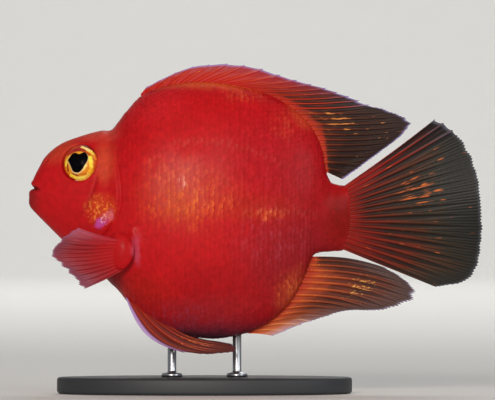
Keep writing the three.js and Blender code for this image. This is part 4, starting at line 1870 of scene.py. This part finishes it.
@dataclass
class Eye:
    """One eye: the ball with its iris, the ragged pupil and the clear cornea.

    Args:
        frame: The fish's frame.
        seat: Where the eyes sit.
        side: The side of the fish.
        outline: The pupil's outline as seen square from the side, from the rear round upwards.
        middle: The pupil's middle in the same view.
        rim: Size of the pale rim round the pupil as a share of the pupil's.
        pupil_high: How far the middle of the pupil's pillow stands off the iris.
        rim_high: The same for the rim's.
        rim_drop: How far the rim lies below the pupil, so that it is hidden above it.
        clear: Width of the cornea as a share of the eyeball's, and its height over it.
    """

    frame: FishFrame
    seat: EyeSeat
    side: Side
    outline: Rows = (
        (2.8, 1.7), (2.7, 3.2), (1.6, 4.5), (0.2, 4.2), (-0.9, 3.8), (-2.0, 4.3),
        (-3.4, 4.0), (-4.5, 2.6), (-5.3, 1.2), (-4.8, 0.2), (-4.1, -1.4), (-3.3, -3.1),
        (-1.8, -3.7), (-0.5, -3.4), (0.8, -2.0), (1.4, -0.8), (2.3, 0.5),
    )
    middle: Pair = (-1.2, 0.5)
    rim: float = 1.05
    pupil_high: float = 0.3
    rim_high: float = 0.14
    rim_drop: float = 0.28
    clear: Pair = (0.985, 0.6)

    def _finish(self, bm: bmesh.types.BMesh, part: str) -> bpy.types.Object:
        """Sets a mesh of the left eye on this eye's side.

        Args:
            bm: The bmesh in the eye's axes, which is freed.
            part: The piece's name without its side.

        Returns:
            The piece's object.
        """
        for vert in bm.verts:
            vert.co = self.seat.place(*vert.co, self.side)
        obj = to_piece(bm, f"{part}_{self.side.word}", self.frame.matrix)
        return obj

    def ball(self) -> bpy.types.Object:
        """Makes the eyeball, whose front is the iris.

        Returns:
            The eyeball's object, which replaces its solid.
        """
        bm = bmesh.new()
        bmesh.ops.create_uvsphere(bm, u_segments=64, v_segments=48, radius=1.0)
        layer = bm.loops.layers.uv.new("Iris")
        for face in bm.faces:
            for loop in face.loops:
                loop[layer].uv = (loop.vert.co.x, loop.vert.co.y)
        bmesh.ops.scale(bm, vec=self.seat.radii, verts=bm.verts)
        obj = self._finish(bm, "eyeball")
        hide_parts("eye_" + self.side.word)
        return obj

    def pillow(self, part: str, grow: float, raised: float, drop: float) -> bpy.types.Object:
        """Makes a thin pillow of the pupil's outline that lies on the iris.

        Args:
            part: The piece's name.
            grow: Its size as a share of the pupil's.
            raised: How far its middle stands off the iris.
            drop: How far it lies below the pupil.

        Returns:
            The pillow's object.
        """
        closed = self.outline[-1:] + self.outline + self.outline[:2]
        middle = Vector(self.middle)
        bm = bmesh.new()
        bmesh.ops.create_uvsphere(bm, u_segments=66, v_segments=14, radius=1.0)
        for vert in bm.verts:
            angle = math.atan2(vert.co.y, vert.co.x) % TURN
            place = (1.0 + angle / TURN * len(self.outline)) / (len(closed) - 1)
            edge = Vector(spline(closed, place))
            seen = middle + (edge - middle) * math.hypot(vert.co.x, vert.co.y) * grow
            a, b = self.seat.from_side(seen.x, seen.y - drop)
            vert.co = (a, b, self.seat.dome(a, b) + raised * vert.co.z)
        return self._finish(bm, part)

    def cornea(self) -> bpy.types.Object:
        """Makes the clear dome over the iris.

        Returns:
            The cornea's object.
        """
        wide, tall, deep = self.seat.radii
        share, over = self.clear
        bm = bmesh.new()
        bmesh.ops.create_uvsphere(bm, u_segments=56, v_segments=36, radius=1.0)
        bmesh.ops.scale(bm, vec=(wide * share, tall * share, deep + over), verts=bm.verts)
        return self._finish(bm, "cornea")


# The stand


@dataclass
class Stand:
    """The display stand: an oval plate with eased edges and two rods with collars.

    Args:
        ease: Radius of the plate's edges.
        segments: Facets round the plate.
        radius: The rods' radius.
        collar: Radius and height of a rod's collar.
        reach: How far a rod runs up into the belly's skin.
    """

    ease: float = 1.2
    segments: int = 144
    radius: float = 1.75
    collar: Pair = (4.2, 1.8)
    reach: float = 0.9

    def plate(self) -> bpy.types.Object:
        """Makes the base plate in the place of its solid.

        Returns:
            The plate's object.
        """
        low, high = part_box("stand_base")
        size, middle = high - low, (low + high) / 2.0
        bm = bmesh.new()
        bmesh.ops.create_circle(bm, cap_ends=True, segments=self.segments, radius=0.5)
        bmesh.ops.scale(bm, vec=(size.x, size.y, 1.0), verts=bm.verts)
        upper = new_verts(bmesh.ops.extrude_face_region(bm, geom=list(bm.faces)))
        bmesh.ops.translate(bm, vec=(0.0, 0.0, size.z), verts=upper)
        level = 1e-6
        rims = [edge for edge in bm.edges if abs(edge.verts[0].co.z - edge.verts[1].co.z) < level]
        bmesh.ops.bevel(
            bm, geom=rims, offset=self.ease * MM, segments=4, profile=0.5, affect="EDGES", material=-1
        )
        obj = to_piece(bm, "base_plate", Matrix.Translation((middle.x, middle.y, low.z)))
        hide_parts("stand_base")
        return obj

    def rod(self, node: str) -> bpy.types.Object:
        """Makes a rod and its collar by a spin, in the place of its solid.

        Args:
            node: The solid.

        Returns:
            The rod's object.
        """
        low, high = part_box(node)
        middle = (low + high) / 2.0
        wide, tall = self.collar[0] * MM, self.collar[1] * MM
        thin, soft, sunk, upright = self.radius * MM, 0.35 * MM, 0.2 * MM, 0.62
        foot, top = low.z - sunk, high.z + self.reach * MM
        wall = foot + upright * tall
        profile = (
            (0.0, foot),
            (wide, foot),
            (wide, wall),
            (wide - soft, wall + soft),
            (thin + 2.0 * soft, foot + tall),
            (thin + 0.6 * soft, foot + tall + 0.5 * soft),
            (thin, foot + tall + 2.0 * soft),
            (thin, top - soft),
            (thin - soft, top),
            (0.0, top),
        )
        bm = bmesh.new()
        verts = [bm.verts.new((x, 0.0, z)) for x, z in profile]
        edges = [bm.edges.new(pair) for pair in zip(verts, verts[1:])]
        bmesh.ops.spin(
            bm, geom=verts + edges, cent=(0, 0, 0), axis=(0, 0, 1), angle=TURN, steps=48, use_merge=True
        )
        bmesh.ops.remove_doubles(bm, verts=bm.verts, dist=1e-6)
        place = Matrix.Translation((middle.x, middle.y, 0.0))
        obj = to_piece(bm, node.replace("stand_", "steel_"), place)
        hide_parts(node)
        return obj


# The studio


@dataclass(frozen=True)
class Lamp:
    """A soft round lamp.

    Args:
        name: Its name.
        place: Its place in metres from the middle of the view.
        size: Its diameter in metres.
        watts: Its power.
        tint: Its sRGB hex colour.
        aim: The point that it faces, in metres from the middle of the view.
    """

    name: str
    place: Triple
    size: float
    watts: float
    tint: str = "#ffffff"
    aim: Triple = (0.0, 0.0, 0.0)

    def hang(self, target: Vector) -> None:
        """Hangs the lamp in the studio.

        Args:
            target: The middle of the view in metres.
        """
        data = bpy.data.lights.new(self.name, "AREA")
        data.shape, data.size, data.energy = "DISK", self.size, self.watts
        data.color = linear(self.tint)[:3]
        lamp = bpy.data.objects.new(self.name, data)
        lamp.location = target + Vector(self.place)
        sight = Vector(self.place) - Vector(self.aim)
        lamp.rotation_euler = sight.to_track_quat("Z", "Y").to_euler()
        lamp.visible_camera = False
        bpy.context.scene.collection.objects.link(lamp)


@dataclass(frozen=True)
class Studio:
    """Floor, wall, lamps and the camera at the photograph's place.

    The lamps light the fish from in front and above, as the photograph is lit, with soft fill.

    Args:
        frame: The fish's frame.
        floor_end: Where the floor starts to curve up, in metres behind the middle plane.
        floor_half: Half the floor's length and width in metres.
        curve: Radius of the curve between the floor and the wall in metres.
        wall_height: Height of the straight part of the wall in metres.
        photo: Width and height of the photograph in pixels.
        pixel: Millimetres of the fish to a pixel.
        origin_pixel: The pixel of the fish frame's origin.
        distance: Distance of the camera from the middle plane, in metres.
        lamps: The lamps.
    """

    frame: FishFrame
    floor_end: float = 4.6
    floor_half: float = 7.0
    curve: float = 2.4
    wall_height: float = 4.0
    photo: tuple[int, int] = (495, 400)
    pixel: float = 0.4
    origin_pixel: Pair = (27.0, 218.0)
    distance: float = 3.0
    lamps: tuple[Lamp, ...] = (
        Lamp("key", (-0.5, -2.875, 0.8), 0.95, 60.0, "#fff4ea"),
        Lamp("fill", (2.0, -1.6, 0.7), 1.1, 14.0),
        Lamp("rear", (0.4, 1.4, 1.6), 1.3, 12.0),
        Lamp("wall", (0.0, 2.6, 3.0), 2.5, 112.0, aim=(0.0, 6.4, 0.6)),
    )

    def target(self) -> Vector:
        """Finds the middle of the view.

        Returns:
            The point of the middle plane at the photograph's centre, in metres.
        """
        x = (self.photo[0] / 2.0 - self.origin_pixel[0]) * self.pixel
        z = (self.origin_pixel[1] - self.photo[1] / 2.0) * self.pixel
        return self.frame.matrix @ Vector((x, 0.0, z))

    def camera(self) -> None:
        """Sets the camera level and square to the fish's left side."""
        data = bpy.data.cameras.new("camera")
        data.sensor_width = 36.0
        data.lens = data.sensor_width * self.distance / (self.photo[0] * self.pixel * MM)
        data.clip_start, data.clip_end = 0.1, 20.0
        camera = bpy.data.objects.new("camera", data)
        camera.location = self.target() + Vector((0.0, -self.distance, 0.0))
        camera.rotation_euler = (math.radians(90.0), 0.0, 0.0)
        bpy.context.scene.collection.objects.link(camera)
        bpy.context.scene.camera = camera

    def sweep(self) -> None:
        """Makes the floor, which curves up into the wall behind the fish."""
        bm = bmesh.new()
        bmesh.ops.create_grid(bm, x_segments=2, y_segments=2, size=self.floor_half)
        # It lies a hair under the stand, so that the two faces don't flicker.
        middle = (0.0, self.floor_end - self.floor_half, -0.2 * MM)
        bmesh.ops.translate(bm, vec=middle, verts=bm.verts)
        back = [e for e in bm.edges if all(v.co.y > self.floor_end - 0.1 for v in e.verts)]
        hub, quarter = (0.0, self.floor_end, self.curve), TURN / 4.0
        made = bmesh.ops.spin(
            bm, geom=back, cent=hub, axis=(1.0, 0.0, 0.0), angle=quarter, steps=24, use_merge=False
        )
        last = [item for item in made["geom_last"] if isinstance(item, bmesh.types.BMEdge)]
        raised = new_verts(bmesh.ops.extrude_edge_only(bm, edges=last))
        bmesh.ops.translate(bm, vec=(0.0, 0.0, self.wall_height), verts=raised)
        floor = show(to_mesh(bm, "studio_sweep"))
        paint(floor, STUDIO_PAINT.material())

    def light(self) -> None:
        """Hangs the lamps and sets the light from all round."""
        for lamp in self.lamps:
            lamp.hang(self.target())
        world = bpy.data.worlds.new("studio")
        world.use_nodes = True
        sky, daylight, strength = world.node_tree.nodes["Background"], "#eef1f4", 0.26
        sky.inputs["Color"].default_value = linear(daylight)
        sky.inputs["Strength"].default_value = strength
        bpy.context.scene.world = world
        bpy.context.scene.view_settings.view_transform = "Standard"


# The fins' rays, from the front of the back fin clockwise round each fin

BACK_KEYS = (
    (45.4, 49.4, 48.0, 52.6, 0.0),
    (57.4, 53.2, 66.4, 60.6, 0.0),
    (71.2, 54.3, 87.0, 61.2, -0.01),
    (84.4, 52.9, 108.0, 55.2, -0.02),
    (95.6, 49.3, 124.8, 50.4, -0.02),
    (105.8, 44.0, 137.2, 45.3, -0.02),
    (112.6, 37.6, 152.4, 39.5, -0.02),
    (116.6, 31.6, 150.6, 33.6, -0.03),
    (118.8, 25.0, 140.8, 26.0, -0.02),
    (120.2, 18.2, 126.4, 15.4, 0.0),
)
TAIL_KEYS = (
    (125.6, 12.0, 163.2, 39.5, -0.01),
    (127.2, 10.0, 170.8, 34.8, 0.0),
    (128.4, 7.4, 176.8, 26.4, 0.0),
    (129.2, 4.3, 180.2, 16.8, 0.0),
    (129.6, 1.0, 181.6, 6.4, 0.0),
    (129.6, -2.4, 182.0, -4.4, 0.0),
    (129.2, -5.8, 181.2, -14.6, 0.0),
    (127.8, -9.2, 176.8, -24.4, 0.0),
    (125.4, -12.2, 163.6, -27.6, 0.0),
)
VENT_KEYS = (
    (114.2, -15.4, 143.2, -19.8, 0.05),
    (112.6, -19.4, 153.6, -26.6, 0.05),
    (110.2, -24.8, 154.0, -32.6, 0.05),
    (106.8, -30.6, 141.8, -36.8, 0.05),
    (102.0, -37.0, 127.4, -37.2, 0.05),
    (95.4, -42.6, 112.0, -42.0, 0.05),
    (88.4, -46.2, 98.8, -47.2, 0.03),
)
BREAST_KEYS = (
    (40.0, -19.4, -19.4, 23.2, -23.6, -28.2, 0.03),
    (39.0, -20.4, -17.8, 19.2, -25.0, -23.4, 0.03),
    (38.2, -21.2, -15.6, 14.4, -26.8, -18.6, 0.03),
    (37.8, -21.6, -13.0, 10.4, -28.8, -14.2, 0.03),
    (38.4, -21.6, -10.6, 13.4, -30.4, -9.4, 0.03),
    (39.4, -21.2, -8.6, 20.4, -31.0, -3.6, 0.03),
)
BELLY_KEYS = (
    (49.0, -7.8, -37.0, 76.4, -8.6, -49.6, -0.1),
    (46.6, -7.8, -35.8, 82.2, -9.0, -50.8, -0.1),
    (44.4, -7.6, -34.6, 83.8, -9.4, -52.8, -0.12),
    (42.0, -7.2, -33.2, 76.0, -9.2, -54.2, -0.155),
    (39.8, -6.6, -31.6, 63.8, -8.6, -54.0, -0.165),
)

# The fins' colours, with painted highlights on some ray segments

BACK_MEMBRANE = FinMembrane(
    name="back_fin_membrane",
    rays=28,
    sheet=((0.0, "#b42c1c"), (0.12, "#98281a"), (0.26, "#36120b"), (0.6, "#1d0c08"), (1.0, "#1e100d")),
    front=((0.0, "#b81a1a"), (0.5, "#b0221a"), (1.0, "#942430")),
    front_range=(0.52, 0.26),
    tide=(0.95, 0.5, 0.34),
    ray=((0.0, "#c0401c"), (0.25, "#8c3a1e"), (0.6, "#4c2618"), (1.0, "#321c16")),
    spine=((0.0, "#bc2a1c"), (0.4, "#c03a20"), (0.75, "#bc4434"), (1.0, "#a880a0")),
    margin=("#9a8ccc", 0.75),
    glint="#e89448",
    glint_spot=(0.64, 0.32, 0.1, 0.28),
    glint_rows=10.0,
    alpha=(1.0, 0.985),
)
TAIL_MEMBRANE = FinMembrane(
    name="tail_fin_membrane",
    rays=18,
    sheet=(
        (0.0, "#82140e"), (0.1, "#6a120c"), (0.22, "#4e0f09"), (0.42, "#220c07"), (0.75, "#15120e"),
        (1.0, "#191a19"),
    ),
    front=((0.0, "#98160f"), (0.24, "#6c110b"), (0.44, "#1c0a06"), (1.0, "#141211")),
    front_range=(0.3, 0.0),
    tide=(0.45, 0.42, 0.26),
    ray=((0.0, "#8c1a12"), (0.3, "#822212"), (0.6, "#562a16"), (0.85, "#33291c"), (1.0, "#282622")),
    spine=((0.0, "#981812"), (0.5, "#a42014"), (0.8, "#802a22"), (1.0, "#5a5262")),
    margin=("#666874", 0.7),
    glint="#dc7034",
    glint_spot=(0.38, 0.55, 0.15, 0.2),
    glint_rows=8.0,
    alpha=(1.0, 0.985),
)
VENT_MEMBRANE = FinMembrane(
    name="vent_fin_membrane",
    rays=15,
    sheet=((0.0, "#a42c1c"), (0.12, "#a03a1e"), (0.3, "#602414"), (0.55, "#341710"), (1.0, "#3a2828")),
    front=((0.0, "#c03c26"), (0.5, "#c0603c"), (1.0, "#c09494")),
    front_range=(0.6, 0.96),
    tide=(0.0, 0.3, 0.4),
    ray=((0.0, "#b43a20"), (0.14, "#d0642c"), (0.4, "#9c4424"), (0.75, "#6c3a2c"), (1.0, "#64504c")),
    spine=((0.0, "#dc7438"), (0.6, "#dc9658"), (1.0, "#ccaca6")),
    margin=("#a09abc", 0.8),
    glint="#f0b45c",
    glint_spot=(0.34, 0.55, 0.15, 0.13),
    alpha=(1.0, 0.97),
)
BREAST_MEMBRANE = FinMembrane(
    name="breast_fin_membrane",
    rays=13,
    sheet=((0.0, "#b0161a"), (0.25, "#a4161a"), (0.55, "#88161a"), (0.85, "#7a2028"), (1.0, "#6c2c40")),
    front=((0.0, "#b01a1c"), (0.3, "#ae2430"), (0.65, "#b03c4c"), (1.0, "#bc6078")),
    front_range=(0.8, 0.97),
    tide=(0.0, 0.4, 0.2),
    ray=((0.0, "#b0161a"), (0.3, "#ac1a1e"), (0.7, "#9e363e"), (1.0, "#9a5660")),
    spine=((0.0, "#b0161a"), (1.0, "#8c5460")),
    margin=("#8c5a7c", 0.5),
    glint="#b44c56",
    glint_spot=(0.9, 0.8, 0.1, 0.2),
    alpha=(1.0, 0.97),
)
BELLY_MEMBRANE = FinMembrane(
    name="belly_fin_membrane",
    rays=6,
    sheet=((0.0, "#8c1a14"), (0.5, "#561612"), (1.0, "#3c1616")),
    front=((0.0, "#a888c0"), (0.5, "#b090c4"), (1.0, "#7a4a6c")),
    front_range=(0.84, 0.93),
    tide=(0.0, 0.4, 0.0),
    ray=((0.0, "#b03420"), (0.6, "#983a26"), (1.0, "#6c2e2a")),
    spine=((0.0, "#b898cc"), (0.6, "#a48cc0"), (1.0, "#7a4660")),
    margin=("#70405c", 0.4),
    glint="#e8783c",
    glint_spot=(0.35, 0.62, 0.3, 0.2),
    alpha=(1.0, 0.98),
)


def build_fins(frame: FishFrame) -> None:
    """Makes the seven fins and dresses them.

    Args:
        frame: The fish's frame.
    """
    fins = [
        Fin(
            frame, "back_fin_rayed", "back_fin", BACK_KEYS, BACK_MEMBRANE, (0.0, 0.56),
            rows=50, wave=(0.5, 2.5),
        ),
        Fin(
            frame, "tail_fin_rayed", "tail_fin", TAIL_KEYS, TAIL_MEMBRANE, (0.0, 0.13),
            across=18, rows=72, sink=3.0, thick=(1.2, 0.1), ridge=(0.36, 0.1),
            notch=(0.012, 0.012), wave=(1.4, 1.6), forks=(0.06, 0.4),
        ),
        Fin(
            frame, "vent_fin_rayed", "vent_fin", VENT_KEYS, VENT_MEMBRANE, (0.8, 1.0),
            across=14, wave=(0.5, 1.5),
        ),
    ]
    for side in Side:
        name, node = f"breast_fin_rayed_{side.word}", f"breast_fin_{side.word}"
        breast = Fin(
            frame, name, node, BREAST_KEYS, BREAST_MEMBRANE, rows=40, sink=0.0, thick=(0.6, 0.12),
            ridge=(0.16, 0.08), notch=(0.05, 0.05), wave=(0.4, 2.0), side=side,
        )
        name, node = f"belly_fin_rayed_{side.word}", f"belly_fin_{side.word}"
        belly = Fin(
            frame, name, node, BELLY_KEYS, BELLY_MEMBRANE, (0.9, 1.0), across=18, rows=44,
            sink=0.0, thick=(0.8, 0.12), side=side,
        )
        fins += [breast, belly]
    materials = {}
    for fin in fins:
        finish = fin.membrane
        if finish.name not in materials:
            materials[finish.name] = finish.material()
        paint(fin.build(), materials[finish.name])


def build_fish(frame: FishFrame) -> None:
    """Makes the skin, scales, lobes and eyes with their materials.

    Args:
        frame: The fish's frame.
    """
    seat = EyeSeat()
    skin = Skin(frame, seat)
    body = skin.build()
    bare, scaled = (FishSkin(frame, option).material() for option in (False, True))
    paint(body, bare)
    finishes = (GoldIris(seat), PUPIL, PUPIL_RIM, CORNEA)
    iris, pupil, rim, cornea = (finish.material() for finish in finishes)
    for side in Side:
        paint(ScaleCoat(skin, body, side).build(), scaled)
        paint(BreastLobe(frame, side).build(), bare)
        eye = Eye(frame, seat, side)
        paint(eye.ball(), iris)
        paint(eye.pillow("pupil_rim", eye.rim, eye.rim_high, eye.rim_drop), rim)
        paint(eye.pillow("pupil", 1.0, eye.pupil_high, 0.0), pupil)
        paint(eye.cornea(), cornea)


def main() -> None:
    """Builds the fish, its stand and the studio."""
    logging.basicConfig(level=logging.INFO, format="%(name)s %(message)s")
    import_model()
    frame = FishFrame()
    build_fish(frame)
    build_fins(frame)
    stand = Stand()
    paint(stand.plate(), POWDER_COAT.material())
    steel = BRUSHED_STEEL.material()
    for node in ("stand_rod_front", "stand_rod_rear"):
        paint(stand.rod(node), steel)
    studio = Studio(frame)
    studio.camera()
    studio.sweep()
    studio.light()


if __name__ == "__main__":
    main()
